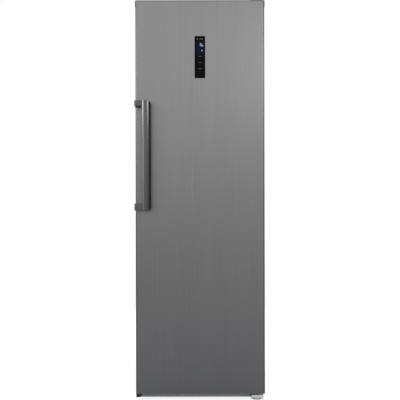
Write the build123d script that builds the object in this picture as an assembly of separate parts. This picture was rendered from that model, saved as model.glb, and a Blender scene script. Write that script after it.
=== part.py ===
from build123d import *
import math
import os

# A tall single-door larder refrigerator, in millimetres.
# +X is to the right of someone facing the door, +Y runs from the door to the wall, +Z is up.
# The origin is on the floor, midway across the width, and midway between the front of the
# handle and the tips of the wall spacers.

# Overall sizes
WIDTH = 595.0
CABINET_TOP = 1850.0
DEPTH = 692.0
HANDLE_REACH = 42.0
SPACER_REACH = 36.0
UNDERSIDE = 34.0
DOOR_THICKNESS = 64.0
GASKET_GAP = 10.0

# Sheets, mouldings and clearances
SHEET = 0.8
LINER = 2.0
MOULDED = 2.0
GLASS = 4.0
SEAT_GAP = 0.3
RUNNING_GAP = 0.08
RUNNING_CLEARANCE = 2.0
PANEL_BEND = 3.0
SCREW_HEAD = 5.0

# Cabinet walls, from the outer skin to the inside of the liner
SIDE_WALL = 50.0
TOP_WALL = 62.0
FLOOR_WALL = 50.0
REAR_WALL = 52.0
LINER_CORNER = 18.0
LANDING = 38.0
TOP_COVER = 2.0

# Compressor and what it stands on
COMPRESSOR_WIDTH = 186.0
COMPRESSOR_DEPTH = 118.0
COMPRESSOR_HEIGHT = 148.0
COMPRESSOR_X = 60.0
COMPRESSOR_REAR_GAP = 19.0
COMPRESSOR_CORNER = 50.0
COMPRESSOR_ROUND = 30.0
SEAM_PROUD = 2.0
SEAM_HEIGHT = 3.0
FEET_SHEET = 3.0
FEET_SPACING = 170.0
GROMMET_RADIUS = 11.0
GROMMET_WAIST = 8.0
GROMMET_HEIGHT = 12.0
GROMMET_LIP = 3.0
GROMMET_TAPER = 2.0
GROMMET_SPACING = 92.0
CARRIER_SHEET = 1.5
CARRIER_LIP = 12.0
TERMINAL_WIDTH = 34.0
TERMINAL_DEPTH = 66.0
TERMINAL_HEIGHT = 74.0
GLAND_RADIUS = 8.0
GLAND_BORE_RADIUS = 4.0
GLAND_LENGTH = 12.0

# Drip tray over the compressor and the drain that leads to it
TRAY_WIDTH = 170.0
TRAY_DEPTH = 104.0
TRAY_HEIGHT = 22.0
TRAY_CORNER = 10.0
DRAIN_RADIUS = 7.0
DRAIN_WALL = 1.5
DRAIN_SETBACK = 4.0

# Machine compartment at the bottom of the rear, round the compressor and its tray
MACHINE_HEADROOM = 19.5
MACHINE_ROOM = 32.0
MACHINE_SLOPE = 35.0
MACHINE_WALL = 48.0

# Planes worked out from the sizes above
X_SIDE = WIDTH / 2
X_LINER = X_SIDE - SIDE_WALL
X_LANDING = X_SIDE - LANDING
Y_HANDLE = -DEPTH / 2
Y_DOOR = Y_HANDLE + HANDLE_REACH
Y_DOOR_BACK = Y_DOOR + DOOR_THICKNESS
Y_CABINET = Y_DOOR_BACK + GASKET_GAP
Y_FOAM = Y_CABINET + PANEL_BEND + SHEET / 2
Y_REAR = DEPTH / 2 - SPACER_REACH
Y_LINER = Y_REAR - REAR_WALL
Z_FLOOR = UNDERSIDE + FLOOR_WALL
Z_CEILING = CABINET_TOP - TOP_WALL
COMPRESSOR_Y = Y_REAR - COMPRESSOR_REAR_GAP - COMPRESSOR_DEPTH / 2
DRAIN_X = COMPRESSOR_X
DRAIN_Y = COMPRESSOR_Y + DRAIN_SETBACK
Z_COMPRESSOR = UNDERSIDE + CARRIER_SHEET + GROMMET_HEIGHT + FEET_SHEET
Z_TRAY = Z_COMPRESSOR + COMPRESSOR_HEIGHT
Z_MACHINE = Z_TRAY + TRAY_HEIGHT + MACHINE_HEADROOM
Z_HUMP = Z_MACHINE + MACHINE_WALL
MACHINE_HEIGHT = Z_MACHINE - UNDERSIDE
Y_MACHINE_HIGH = Y_REAR - COMPRESSOR_DEPTH - MACHINE_ROOM
Y_MACHINE_LOW = Y_MACHINE_HIGH - MACHINE_SLOPE
Y_HUMP_LOW = Y_MACHINE_LOW - MACHINE_WALL
Y_HUMP_HIGH = Y_MACHINE_HIGH - MACHINE_WALL

# Door
DOOR_LIFT = 1.0
DOOR_TOP_GAP = 2.0
DOOR_EDGE_RADIUS = 8.0
DOOR_HEM = 20.0
HEM_BEND = 1.5
TOP_CAP_LIP = 5.0
CAP_SKIRT = 16.0
CAP_SKIRT_WALL = 3.0
CAP_EAR_DROP = 28.0
CAP_EAR_PROUD = 2.0
CAP_EAR_ROUND = 1.8
LUG_DROP = 17.0
LUG_WIDTH = 36.0
LUG_SLANT = 18.0
LUG_DEPTH = 42.0
DIKE_DEPTH = 30.0
DIKE_WIDTH = 25.0
DIKE_RADIUS = 14.0
DIKE_SIDE_GAP = 7.5
DIKE_FLOOR_GAP = 13.0
DIKE_CEILING_GAP = 2.0
LINER_SIDE_MARGIN = 3.0
LINER_END_MARGIN = 4.0
GASKET_MARGIN = 19.5
GASKET_WIDTH = 16.0
GASKET_RADIUS = 12.0
GASKET_INNER_RADIUS = 4.0
GASKET_NECK_INSET = 4.0
DOOR_BOTTOM = UNDERSIDE + DOOR_LIFT
Z_DOOR_TOP = CABINET_TOP - DOOR_TOP_GAP
X_DIKE = X_LINER - DIKE_SIDE_GAP
Z_DIKE_LOW = Z_FLOOR + DIKE_FLOOR_GAP
Z_DIKE_TOP = Z_CEILING - DIKE_CEILING_GAP

# Hinges: the vertical axis stands near the right edge, midway through the door
HINGE_INSET = 18.0
HINGE_SETBACK = 32.0
HINGE_X = X_SIDE - HINGE_INSET
HINGE_Y = Y_DOOR + HINGE_SETBACK
HINGE_PLATE = 3.0
HINGE_PLATE_WIDTH = 52.0
HINGE_PLATE_REACH = 120.0
HINGE_PLATE_CORNER = 11.0
HINGE_OVERHANG = 14.0
HINGE_SCREWS = 3
HINGE_SCREW_PITCH = 26.0
HINGE_SCREW_EDGE = 13.0
TOP_PIN_RADIUS = 4.0
TOP_PIN_LENGTH = 22.0
BOTTOM_PIN_RADIUS = 5.0
BOTTOM_PIN_LENGTH = 26.0
PIN_COLLAR_RADIUS = 8.5
BUSH_WALL = 2.5
BUSH_LENGTH = 26.0
HINGE_COVER_HEIGHT = 12.0
HINGE_COVER_MARGIN = 4.0
HINGE_COVER_ROUND = 3.0

# Foot brackets, the right one of which carries the door's lower hinge pin
FOOT_PLATE = 4.0
FOOT_PLATE_WIDTH = 56.0
FOOT_PLATE_END = 140.0
FOOT_SCREW_EDGE = 10.0
FOOT_SCREW_PITCH = 20.0
PLATE_MARGIN = 6.0
TONGUE_DROP = 8.0
TONGUE_FRONT = 12.0
TONGUE_LIP = 8.0
TONGUE_CORNER = 2.5
SKIRT_WALL = 4.0
SKIRT_FLOOR_GAP = 4.0
FOOT_RADIUS = 22.5
FOOT_HEIGHT = 11.0
FOOT_RIM = 3.0
FOOT_STEM_RADIUS = 5.0
FOOT_INSET = 34.0
RIGHT_FOOT_SETBACK = 45.0
LEFT_FOOT_SETBACK = 104.0

# Rear rollers
ROLLER_TOP_GAP = 2.0
ROLLER_WIDTH = 22.0
ROLLER_INSET = 52.0
ROLLER_SETBACK = 30.0
ROLLER_AXLE_RADIUS = 3.0
ROLLER_CHEEK = 2.0
ROLLER_SIDE_GAP = 1.0
ROLLER_RADIUS = (UNDERSIDE - ROLLER_CHEEK - ROLLER_TOP_GAP) / 2
ROLLER_X = X_SIDE - ROLLER_INSET
ROLLER_Y = Y_REAR - ROLLER_SETBACK

# Kick plate below the door
KICK_SHEET = 1.6
KICK_REACH = 18.0
KICK_CLEARANCE = 4.0
KICK_HEM = 9.0
KICK_SIDE_MARGIN = 11.5
KICK_OVERLAP = 4.0

# Handle
HANDLE_BAR_WIDTH = 30.5
HANDLE_BAR_DEPTH = 13.0
HANDLE_BAR_LENGTH = 505.0
HANDLE_BAR_CROWN = 5.0
HANDLE_BAR_OFFSET = 34.0
HANDLE_DROP = 465.0
GRIP_WIDTH = 9.7
GRIP_DEPTH = 10.0
GRIP_SETBACK = 6.0
GRIP_END_GAP = 6.0
GRIP_CORNER = 9.0
BRACKET_HEIGHT = 29.0
BRACKET_SIDE_WALL = 3.0
BRACKET_SIDE_REACH = 27.0
BRACKET_INSET = 2.5
BRACKET_RADIUS = 12.0
BRACKET_CORNER = 5.0
BRACKET_LEDGE = 4.0
HANDLE_SCREW_RADIUS = 3.5
HANDLE_SCREW_PITCH = 15.0
HANDLE_X = -X_SIDE + HANDLE_BAR_OFFSET + HANDLE_BAR_WIDTH / 2
HANDLE_BAR_TOP = Z_DOOR_TOP - HANDLE_DROP
HANDLE_BAR_BOTTOM = HANDLE_BAR_TOP - HANDLE_BAR_LENGTH

# Display in the door
DISPLAY_WIDTH = 49.0
DISPLAY_HEIGHT = 194.0
DISPLAY_DROP = 165.0
DISPLAY_GLASS = 3.0
DISPLAY_PROUD = 0.5
DISPLAY_CORNER = 3.0
DISPLAY_BOX_DEPTH = 16.0
DISPLAY_BOX_MARGIN = 7.0
CONTROL_BOARD = 1.6
CONTROL_BOARD_MARGIN = 5.0
DISPLAY_BOTTOM = Z_DOOR_TOP - DISPLAY_DROP - DISPLAY_HEIGHT

# Door bins
BIN_COUNT = 5
BIN_FLOOR_GAP = 4.0
BIN_DEPTH = 104.0
BIN_HEIGHT = 92.0
BOTTLE_BIN_HEIGHT = 132.0
TOP_BIN_ROOM = 223.0
BIN_WALL = 2.2
BIN_RADIUS = 16.0
BIN_FOOT_ROUND = 4.4
BIN_RIM = 4.0
BIN_RIM_WIDTH = 8.0
BIN_SIDE_GAP = 1.0
BIN_BACK_GAP = 4.0
LUG_HEIGHT = 12.0
Y_BIN = Y_DOOR_BACK + BIN_BACK_GAP
BIN_BOTTOM = Z_DIKE_LOW + DIKE_WIDTH + BIN_FLOOR_GAP
TOP_BIN_BOTTOM = Z_DIKE_TOP - DIKE_WIDTH - TOP_BIN_ROOM - BIN_HEIGHT
BIN_PITCH = (TOP_BIN_BOTTOM - BIN_BOTTOM) / (BIN_COUNT - 1)

# Air duct, fan and cold plate at the rear of the food space
DUCT_WIDTH = 130.0
DUCT_DEPTH = 34.0
DUCT_LIFT = 30.0
DUCT_TOP_GAP = 20.0
DUCT_RADIUS = 10.0
VENT_WIDTH = 30.0
VENT_HEIGHT = 6.0
VENT_PITCH = 15.0
VENT_ROWS = 3
FAN_RADIUS = 42.0
FAN_BELOW_TOP = 70.0
FAN_DEPTH = 12.0
FAN_HUB_RADIUS = 16.0
FAN_BLADES = 7
FAN_TIP_GAP = 2.5
FAN_SHAFT_RADIUS = 1.5
BLADE_ROOT_CHORD = 11.4
BLADE_ROOT_THICKNESS = 1.6
BLADE_ROOT_ANGLE = 50
BLADE_TIP_CHORD = 19.2
BLADE_TIP_THICKNESS = 1.2
BLADE_TIP_ANGLE = 62
MOTOR_RADIUS = 19.0
MOTOR_FOOT_WIDTH = 57.0
MOTOR_FOOT_HEIGHT = 19.0
GRILLE_RINGS = 3
GRILLE_SPOKES = 4
GRILLE_BAR = 3.0
COLD_PLATE = 1.5
COLD_PLATE_SIDE_GAP = 47.5
COLD_PLATE_LIFT = 150.0
COLD_PLATE_TOP_GAP = 288.0
Y_DUCT = Y_LINER - DUCT_DEPTH
Y_FAN = Y_DUCT + MOULDED + RUNNING_CLEARANCE + FAN_DEPTH / 2
Z_FAN = Z_CEILING - DUCT_TOP_GAP - FAN_BELOW_TOP

# Drawers
DRAWER_WALL = 2.2
DRAWER_GAP = 5.0
DRAWER_CLEARANCE = 12.0
DRAWER_RADIUS = 14.0
DRAWER_LIP = 3.0
CRISPER_ROOM = 52.0
CRISPER_REAR_GAP = 22.0
CRISPER_BACK_GAP = 56.0
CRISPER_STEP_GAP = 8.0
CRISPER_COVER_GAP = 1.0
CHILL_SIDE_ROOM = 32.5
CHILL_HEIGHT = 96.0
CHILL_REAR_GAP = 61.0
CHILL_TOP_GAP = 14.0
CHILL_FLANGE = 9.0
CHILL_RAIL_WALL = 2.0
PULL_WIDTH = 110.0
PULL_DEPTH = 9.0
PULL_HEIGHT = 12.0
CRISPER_TOP = Z_HUMP + CRISPER_ROOM
CHILL_WIDTH = 2 * (X_LINER - CHILL_SIDE_ROOM)

# Shelves
SHELF_COUNT = 7
BOTTLE_RACK_INDEX = 1
COVER_TO_SHELF = 144.0
TOP_SHELF_ROOM = 158.0
SHELF_SETBACK = 118.0
SHELF_SIDE_GAP = 3.0
SHELF_CORNER = 8.0
SHELF_REAR_GAP = 6.0
SHELF_RAIL_REACH = 9.0
SHELF_RAIL_HEIGHT = 9.0
SHELF_RAIL_FRONT = 14.0
TRIM_HEIGHT = 14.0
TRIM_WIDTH = 12.0
TRIM_WALL = 2.0
RACK_WIRE = 3.0
RACK_FRAME = 4.0
RACK_PITCH = 24.0
SHELF_FRONT = Y_CABINET + SHELF_SETBACK
Y_SHELF_REAR = Y_DUCT - SHELF_REAR_GAP
Y_DRAWER = SHELF_FRONT + PULL_DEPTH
CHILL_DEPTH = Y_LINER - CHILL_REAR_GAP - Y_DRAWER
Z_COVER_GLASS = CRISPER_TOP + CRISPER_COVER_GAP + (TRIM_HEIGHT - GLASS) / 2
FIRST_SHELF = Z_COVER_GLASS + COVER_TO_SHELF
SHELF_PITCH = (Z_CEILING - TOP_SHELF_ROOM - FIRST_SHELF) / (SHELF_COUNT - 1)

# Ceiling lamp
LAMP_WIDTH = 210.0
LAMP_DEPTH = 46.0
LAMP_DROP = 12.0
LAMP_SETBACK = 60.0
LAMP_CASE = 4.0
LAMP_CORNER = 10.0

# Wire-on-tube condenser on the back
TUBE_RADIUS = 2.4
TUBE_PASSES = 15
CONDENSER_LIFT = 90.0
CONDENSER_TOP_GAP = 400.0
CONDENSER_SIDE_GAP = 107.5
WIRE_RADIUS = 0.8
WIRE_COUNT = 30
WIRE_OVERHANG = 20.0
CONDENSER_STANDOFF = 16.0
STANDOFF_WIDTH = 10.0
STANDOFF_HEIGHT = 22.0
STANDOFF_WIRE = 1.5
SPACER_WIDTH = 34.0
SPACER_HEIGHT = 46.0
SPACER_TIP_WIDTH = 24.0
SPACER_TIP_HEIGHT = 37.0
SPACER_INSET = 60.0
SPACER_DROP = 130.0
TUBE_HALF_RUN = X_SIDE - CONDENSER_SIDE_GAP
Y_TUBE = Y_REAR + CONDENSER_STANDOFF
Z_CONDENSER_LOW = Z_MACHINE + CONDENSER_LIFT
Z_CONDENSER_TOP = CABINET_TOP - CONDENSER_TOP_GAP
TUBE_PITCH = (Z_CONDENSER_TOP - Z_CONDENSER_LOW) / (TUBE_PASSES - 1)

# Refrigerant lines
PIPE_BEND = 18.0
PIPE_OUT = 20.0
PIPE_DIP = 20.0
DISCHARGE_HEIGHT = 59.0
SUCTION_HEIGHT = 89.0
SUCTION_RADIUS = 3.6
SUCTION_OUT = 36.0
CAPILLARY_RADIUS = 1.2
CAPILLARY_LOOP = 45.0
DRIER_RADIUS = 9.0
DRIER_NECK_RADIUS = 3.1
DRIER_LENGTH = 90.0
DRIER_INSET = 51.5
DRIER_LIFT = 41.0
RETURN_TURN = 40.0
X_DRIER = X_SIDE - DRIER_INSET
Z_DRIER = UNDERSIDE + DRIER_LIFT


def block(x, y, z):
    """A square-cornered solid between the two ends given for each axis."""
    sizes = [abs(end - start) for start, end in (x, y, z)]
    centre = [(start + end) / 2 for start, end in (x, y, z)]
    return Pos(*centre) * Box(*sizes)


def upright(profile, z_low, z_high):
    """A plan outline drawn in X and Y, carried up between two heights."""
    return extrude(Pos(0, 0, z_low) * profile, amount=z_high - z_low, dir=(0, 0, 1))


def facing(profile, y_front, y_back):
    """A front-view outline drawn in X and Z, carried between two depths."""
    return extrude(Plane.XZ.offset(-y_back) * profile, amount=y_back - y_front, dir=(0, -1, 0))


def sideways(profile, x_left, x_right):
    """A side-view outline drawn in Y and Z, carried between two widths."""
    return extrude(Plane.YZ.offset(x_left) * profile, amount=x_right - x_left, dir=(1, 0, 0))


def rounded(x, y, radius):
    """A rounded rectangle between the two ends given for each direction."""
    width, height = abs(x[1] - x[0]), abs(y[1] - y[0])
    return Pos(sum(x) / 2, sum(y) / 2) * RectangleRounded(width, height, radius)


def folded(points, radius, thickness):
    """The section of a sheet folded along a line, which runs mid-thickness."""
    return trace(FilletPolyline(*points, radius=radius), line_width=thickness)


def post(x, y, z_low, z_high, radius):
    """A round pin that stands on end."""
    return Pos(x, y, (z_low + z_high) / 2) * Cylinder(radius, z_high - z_low)


def screw(x, y, z, radius, length, axis="Z"):
    """A hexagon-headed screw's head and shank as one prism, centred on a point."""
    turn = {"X": Rot(0, 90, 0), "Y": Rot(90, 0, 0), "Z": Rot(0, 0, 0)}[axis]
    prism = extrude(RegularPolygon(radius, 6), amount=length / 2, both=True)
    return Pos(x, y, z) * turn * prism


def mirrored(solid):
    """The same piece on the other side of the cabinet."""
    return mirror(solid, about=Plane.YZ)


# Cabinet

def step_shift(rise, run, grow):
    """How far a sloping step moves sideways when everything round it grows."""
    return grow * math.tan(math.atan2(rise, run) / 2)


def liner_form(grow):
    """The food space as a solid, grown outwards by a thickness."""
    shift = step_shift(Z_HUMP - Z_FLOOR, Y_HUMP_HIGH - Y_HUMP_LOW, grow)
    outline = Polygon(
        (Y_CABINET, Z_FLOOR - grow),
        (Y_HUMP_LOW + shift, Z_FLOOR - grow),
        (Y_HUMP_HIGH + shift, Z_HUMP - grow),
        (Y_LINER + grow, Z_HUMP - grow),
        (Y_LINER + grow, Z_CEILING + grow),
        (Y_CABINET, Z_CEILING + grow),
        align=None,
    )
    form = sideways(outline, -X_LINER - grow, X_LINER + grow)
    front_edges = form.faces().sort_by(Axis.Y)[0].edges()
    return fillet([edge for edge in form.edges() if edge not in front_edges], LINER_CORNER + grow)


def shelf_levels():
    """The heights of the undersides of the shelves, lowest first."""
    return [FIRST_SHELF + index * SHELF_PITCH for index in range(SHELF_COUNT)]


def pane_levels():
    """The heights of the glass panes: the cover over the drawers, then the shelves."""
    shelves = [level for index, level in enumerate(shelf_levels()) if index != BOTTLE_RACK_INDEX]
    return [Z_COVER_GLASS] + shelves


def liner_flange():
    """The slab that the front flange of the liner is cut from."""
    lip = SIDE_WALL - LANDING
    return block(
        (-X_LINER - lip, X_LINER + lip),
        (Y_CABINET, Y_CABINET + LINER),
        (Z_FLOOR - lip, Z_CEILING + lip),
    )


def inner_liner():
    """The moulded white tub with its front flange and the ledges that carry the shelves."""
    tub = liner_form(LINER) + liner_flange() - liner_form(0)
    ledges = []
    for level in [Z_COVER_GLASS] + shelf_levels():
        ledge = block(
            (X_LINER - SHELF_RAIL_REACH, X_LINER + LINER / 2),
            (SHELF_FRONT + SHELF_RAIL_FRONT, Y_SHELF_REAR),
            (level - SHELF_RAIL_HEIGHT, level),
        )
        ledges += [ledge, mirrored(ledge)]
    return tub + ledges - post(DRAIN_X, DRAIN_Y, Z_MACHINE, Z_HUMP + LINER, DRAIN_RADIUS - DRAIN_WALL)


def side_panel():
    """The right-hand steel side with its folded front landing for the seal."""
    x_mid = X_SIDE - SHEET / 2
    y_mid = Y_CABINET + SHEET / 2
    fold = folded([(X_LANDING, y_mid), (x_mid, y_mid), (x_mid, Y_REAR)], PANEL_BEND, SHEET)
    return upright(fold, UNDERSIDE, CABINET_TOP - TOP_COVER)


def top_cover():
    """The cabinet's top, with the landing for the seal hanging from its front edge."""
    lip = SIDE_WALL - LANDING
    plate = block((-X_SIDE, X_SIDE), (Y_CABINET, Y_REAR), (CABINET_TOP - TOP_COVER, CABINET_TOP))
    plate = fillet(plate.edges().filter_by(Axis.Z), PANEL_BEND)
    fascia = block(
        (-X_LANDING, X_LANDING),
        (Y_CABINET, Y_CABINET + SHEET),
        (Z_CEILING + lip, CABINET_TOP - TOP_COVER),
    )
    return plate + fascia


def rear_panel():
    """The flat sheet that closes the back above the machine compartment."""
    return block(
        (-X_SIDE + SHEET, X_SIDE - SHEET),
        (Y_REAR - SHEET, Y_REAR),
        (Z_MACHINE + SHEET, CABINET_TOP - TOP_COVER),
    )


def base_panel():
    """The folded sheet under the cabinet, which steps up over the machine compartment."""
    grow = SHEET / 2
    shift = step_shift(MACHINE_HEIGHT, Y_MACHINE_HIGH - Y_MACHINE_LOW, grow)
    path = [
        (Y_FOAM, UNDERSIDE + grow),
        (Y_MACHINE_LOW - shift, UNDERSIDE + grow),
        (Y_MACHINE_HIGH - shift, Z_MACHINE + grow),
        (Y_REAR, Z_MACHINE + grow),
    ]
    sheet = sideways(folded(path, PANEL_BEND, SHEET), -X_SIDE + SHEET, X_SIDE - SHEET)
    z_rail = Z_FLOOR - SIDE_WALL + LANDING
    rail = block((-X_LANDING, X_LANDING), (Y_CABINET, Y_CABINET + SHEET), (UNDERSIDE, z_rail))
    tongue = block((-X_LANDING, X_LANDING), (Y_CABINET, Y_FOAM), (UNDERSIDE, UNDERSIDE + SHEET))
    return sheet + rail + tongue - post(DRAIN_X, DRAIN_Y, UNDERSIDE, Z_HUMP, DRAIN_RADIUS)


def cabinet_foam():
    """The insulation that fills everything between the skins and the liner."""
    shift = step_shift(MACHINE_HEIGHT, Y_MACHINE_HIGH - Y_MACHINE_LOW, SHEET)
    low_bend = (Y_MACHINE_LOW - shift, UNDERSIDE + SHEET)
    high_bend = (Y_MACHINE_HIGH - shift, Z_MACHINE + SHEET)
    outline = Polygon(
        (Y_FOAM, UNDERSIDE + SHEET),
        low_bend,
        high_bend,
        (Y_REAR - SHEET, Z_MACHINE + SHEET),
        (Y_REAR - SHEET, CABINET_TOP - TOP_COVER),
        (Y_FOAM, CABINET_TOP - TOP_COVER),
        align=None,
    )
    outline = fillet(outline.vertices().sort_by_distance(low_bend)[0], PANEL_BEND - SHEET / 2)
    outline = fillet(outline.vertices().sort_by_distance(high_bend)[0], PANEL_BEND + SHEET / 2)
    solid = sideways(outline, -X_SIDE + SHEET, X_SIDE - SHEET)
    solid -= liner_form(LINER)
    solid -= liner_flange()
    solid -= post(DRAIN_X, DRAIN_Y, UNDERSIDE, Z_HUMP, DRAIN_RADIUS)
    return solid - evaporator_plate()


def evaporator_plate():
    """The cold plate foamed in behind the rear wall of the food space."""
    return block(
        (-X_LINER + COLD_PLATE_SIDE_GAP, X_LINER - COLD_PLATE_SIDE_GAP),
        (Y_LINER + LINER, Y_LINER + LINER + COLD_PLATE),
        (FIRST_SHELF + COLD_PLATE_LIFT, Z_CEILING - COLD_PLATE_TOP_GAP),
    )


def kick_plate():
    """The plinth below the door, clipped under the front of the cabinet."""
    z_top = UNDERSIDE - KICK_SHEET / 2
    y_front = Y_CABINET - KICK_REACH + KICK_SHEET / 2
    path = [
        (Y_CABINET + KICK_OVERLAP, z_top),
        (y_front, z_top),
        (y_front, KICK_CLEARANCE + KICK_SHEET / 2),
        (y_front + KICK_HEM, KICK_CLEARANCE + KICK_SHEET / 2),
    ]
    x_right = X_SIDE - PLATE_MARGIN - FOOT_PLATE_WIDTH - KICK_CLEARANCE
    return sideways(folded(path, KICK_SHEET, KICK_SHEET), -X_SIDE + KICK_SIDE_MARGIN, x_right)


# Food space

def glass_pane(level):
    """A sheet of shelf glass lying on its ledges."""
    half = X_LINER - SHELF_SIDE_GAP
    pane = rounded((-half, half), (SHELF_FRONT + TRIM_WALL, Y_SHELF_REAR - TRIM_WALL), SHELF_CORNER)
    return upright(pane, level, level + GLASS)


def glass_trim(level, y_edge, inward):
    """The moulding round one long edge of a pane, which is slotted for the glass."""
    half = X_LINER - SHELF_RAIL_REACH - SHELF_SIDE_GAP
    z_low = level + GLASS / 2 - TRIM_HEIGHT / 2
    profile = rounded((y_edge, y_edge + inward * TRIM_WIDTH), (z_low, z_low + TRIM_HEIGHT), TRIM_WALL)
    return sideways(profile, -half, half) - glass_pane(level)


def shelf_trims():
    """The mouldings along the front and the rear of every pane."""
    trims = []
    for level in pane_levels():
        trims.append(glass_trim(level, SHELF_FRONT, 1))
        trims.append(glass_trim(level, Y_SHELF_REAR, -1))
    return trims


def bottle_rack(level):
    """A wire rack whose bars run front to rear between two stouter rods, so that bottles lie on it."""
    half = X_LINER - SHELF_SIDE_GAP
    z_mid = level + RACK_FRAME
    y_front = SHELF_FRONT + RACK_FRAME
    y_rear = Y_SHELF_REAR - RACK_FRAME
    bars = []
    for y in (y_front, y_rear):
        bars.append(Pos(0, y, z_mid) * Rot(0, 90, 0) * Rot(0, 0, 30) * wire(RACK_FRAME, 2 * half))
    count = round(2 * (half - RACK_PITCH) / RACK_PITCH)
    for index in range(count + 1):
        x = (index - count / 2) * RACK_PITCH
        bar = Pos(x, (y_front + y_rear) / 2, z_mid) * Rot(90, 0, 0) * wire(RACK_WIRE, y_rear - y_front)
        bars.append(bar)
    return bars[0] + bars[1:]


def wire(radius, length):
    """A drawn wire, given six flats, centred on the origin along Z."""
    return extrude(RegularPolygon(radius, 6, major_radius=False), amount=length / 2, both=True)


def air_duct_cover():
    """The moulded column on the rear wall, with its fan grille and its rows of vents."""
    half = DUCT_WIDTH / 2
    z_top = Z_CEILING - DUCT_TOP_GAP
    z_low = FIRST_SHELF + DUCT_LIFT
    shell = facing(rounded((-half, half), (z_low, z_top), DUCT_RADIUS), Y_DUCT, Y_LINER)
    inside = facing(
        rounded(
            (-half + MOULDED, half - MOULDED),
            (z_low + MOULDED, z_top - MOULDED),
            DUCT_RADIUS - MOULDED,
        ),
        Y_DUCT + MOULDED,
        Y_LINER,
    )
    shell = shell - inside
    slots = []
    ring_pitch = (FAN_RADIUS - GRILLE_BAR) / GRILLE_RINGS
    for ring in range(GRILLE_RINGS):
        outer = FAN_RADIUS - ring * ring_pitch
        slots.append(Circle(outer) - Circle(max(outer - ring_pitch + GRILLE_BAR, GRILLE_BAR / 2)))
    openings = Sketch() + slots
    for spoke in range(GRILLE_SPOKES):
        openings -= Rot(0, 0, spoke * 180 / GRILLE_SPOKES) * Rectangle(2 * FAN_RADIUS, GRILLE_BAR)
    shell -= facing(Pos(0, Z_FAN) * openings, Y_DUCT, Y_DUCT + MOULDED)
    vents = []
    for level in shelf_levels()[:-1]:
        z_first = level + SHELF_PITCH / 2
        if z_first + VENT_ROWS * VENT_PITCH > Z_FAN - FAN_RADIUS - VENT_PITCH:
            continue
        for row in range(VENT_ROWS):
            z = z_first + (row - (VENT_ROWS - 1) / 2) * VENT_PITCH
            for side in (-1, 1):
                x = side * (half - VENT_WIDTH / 2 - DUCT_RADIUS)
                vents.append(Pos(x, z) * SlotOverall(VENT_WIDTH, VENT_HEIGHT))
    return shell - facing(Sketch() + vents, Y_DUCT, Y_DUCT + MOULDED)


def fan_blade():
    """One twisted blade, lofted from its root in the hub to its tip."""
    root = Plane(origin=(FAN_HUB_RADIUS - MOULDED, 0, 0), x_dir=(0, 0, 1), z_dir=(1, 0, 0))
    tip = Plane(origin=(FAN_RADIUS - FAN_TIP_GAP, 0, 0), x_dir=(0, 0, 1), z_dir=(1, 0, 0))
    sections = [
        root * Rot(0, 0, BLADE_ROOT_ANGLE) * Rectangle(BLADE_ROOT_CHORD, BLADE_ROOT_THICKNESS),
        tip * Rot(0, 0, BLADE_TIP_ANGLE) * Rectangle(BLADE_TIP_CHORD, BLADE_TIP_THICKNESS),
    ]
    return loft(sections, ruled=True)


def fan_impeller():
    """The circulating fan's hub and blades, which turn on the motor's shaft."""
    hub = Cylinder(FAN_HUB_RADIUS, FAN_DEPTH)
    hub = fillet(hub.edges().sort_by(Axis.Z)[-1], MOULDED)
    wheel = hub + [Rot(0, 0, index * 360 / FAN_BLADES) * fan_blade() for index in range(FAN_BLADES)]
    wheel -= Pos(0, 0, -MOULDED) * Cylinder(FAN_SHAFT_RADIUS + RUNNING_GAP, FAN_DEPTH)
    return Pos(0, Y_FAN, Z_FAN) * Rot(90, 0, 0) * wheel


def fan_motor():
    """The fan's motor on its foot against the rear wall, with the shaft that carries the fan."""
    y_front = Y_FAN + FAN_DEPTH / 2 + RUNNING_CLEARANCE
    body = facing(Pos(0, Z_FAN) * Circle(MOTOR_RADIUS), y_front, Y_LINER)
    foot = Pos(0, Z_FAN) * RectangleRounded(MOTOR_FOOT_WIDTH, MOTOR_FOOT_HEIGHT, MOULDED)
    foot = facing(foot, Y_LINER - MOULDED, Y_LINER)
    shaft = facing(Pos(0, Z_FAN) * Circle(FAN_SHAFT_RADIUS), Y_FAN, y_front)
    return body + foot + shaft


def lamp_case():
    """The ceiling lamp's moulded base."""
    half = LAMP_WIDTH / 2
    y_front = Y_CABINET + LAMP_SETBACK
    base = rounded((-half, half), (y_front, y_front + LAMP_DEPTH), LAMP_CORNER)
    return upright(base, Z_CEILING - LAMP_CASE, Z_CEILING)


def lamp_lens():
    """The ceiling lamp's frosted lens, held under its base."""
    half = LAMP_WIDTH / 2 - MOULDED
    y_front = Y_CABINET + LAMP_SETBACK + MOULDED
    y_back = y_front + LAMP_DEPTH - 2 * MOULDED
    lens = rounded((-half, half), (y_front, y_back), LAMP_CORNER - MOULDED)
    lens = upright(lens, Z_CEILING - LAMP_DROP, Z_CEILING - LAMP_CASE)
    return fillet(lens.faces().sort_by(Axis.Z)[0].edges(), MOULDED)


# Drawers

def crisper_side(inset, z_top):
    """The stepped side view of a vegetable drawer, shrunk by a wall thickness."""
    z_low = Z_FLOOR + SEAT_GAP
    z_step = Z_HUMP + CRISPER_STEP_GAP
    y_low = Y_HUMP_LOW - CRISPER_REAR_GAP
    y_high = Y_HUMP_HIGH - CRISPER_REAR_GAP
    shift = step_shift(z_step - z_low, y_high - y_low, inset)
    return Polygon(
        (Y_DRAWER + inset, z_low + inset),
        (y_low - shift, z_low + inset),
        (y_high - shift, z_step + inset),
        (Y_LINER - CRISPER_BACK_GAP - inset, z_step + inset),
        (Y_LINER - CRISPER_BACK_GAP - inset, z_top),
        (Y_DRAWER + inset, z_top),
        align=None,
    )


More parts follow.
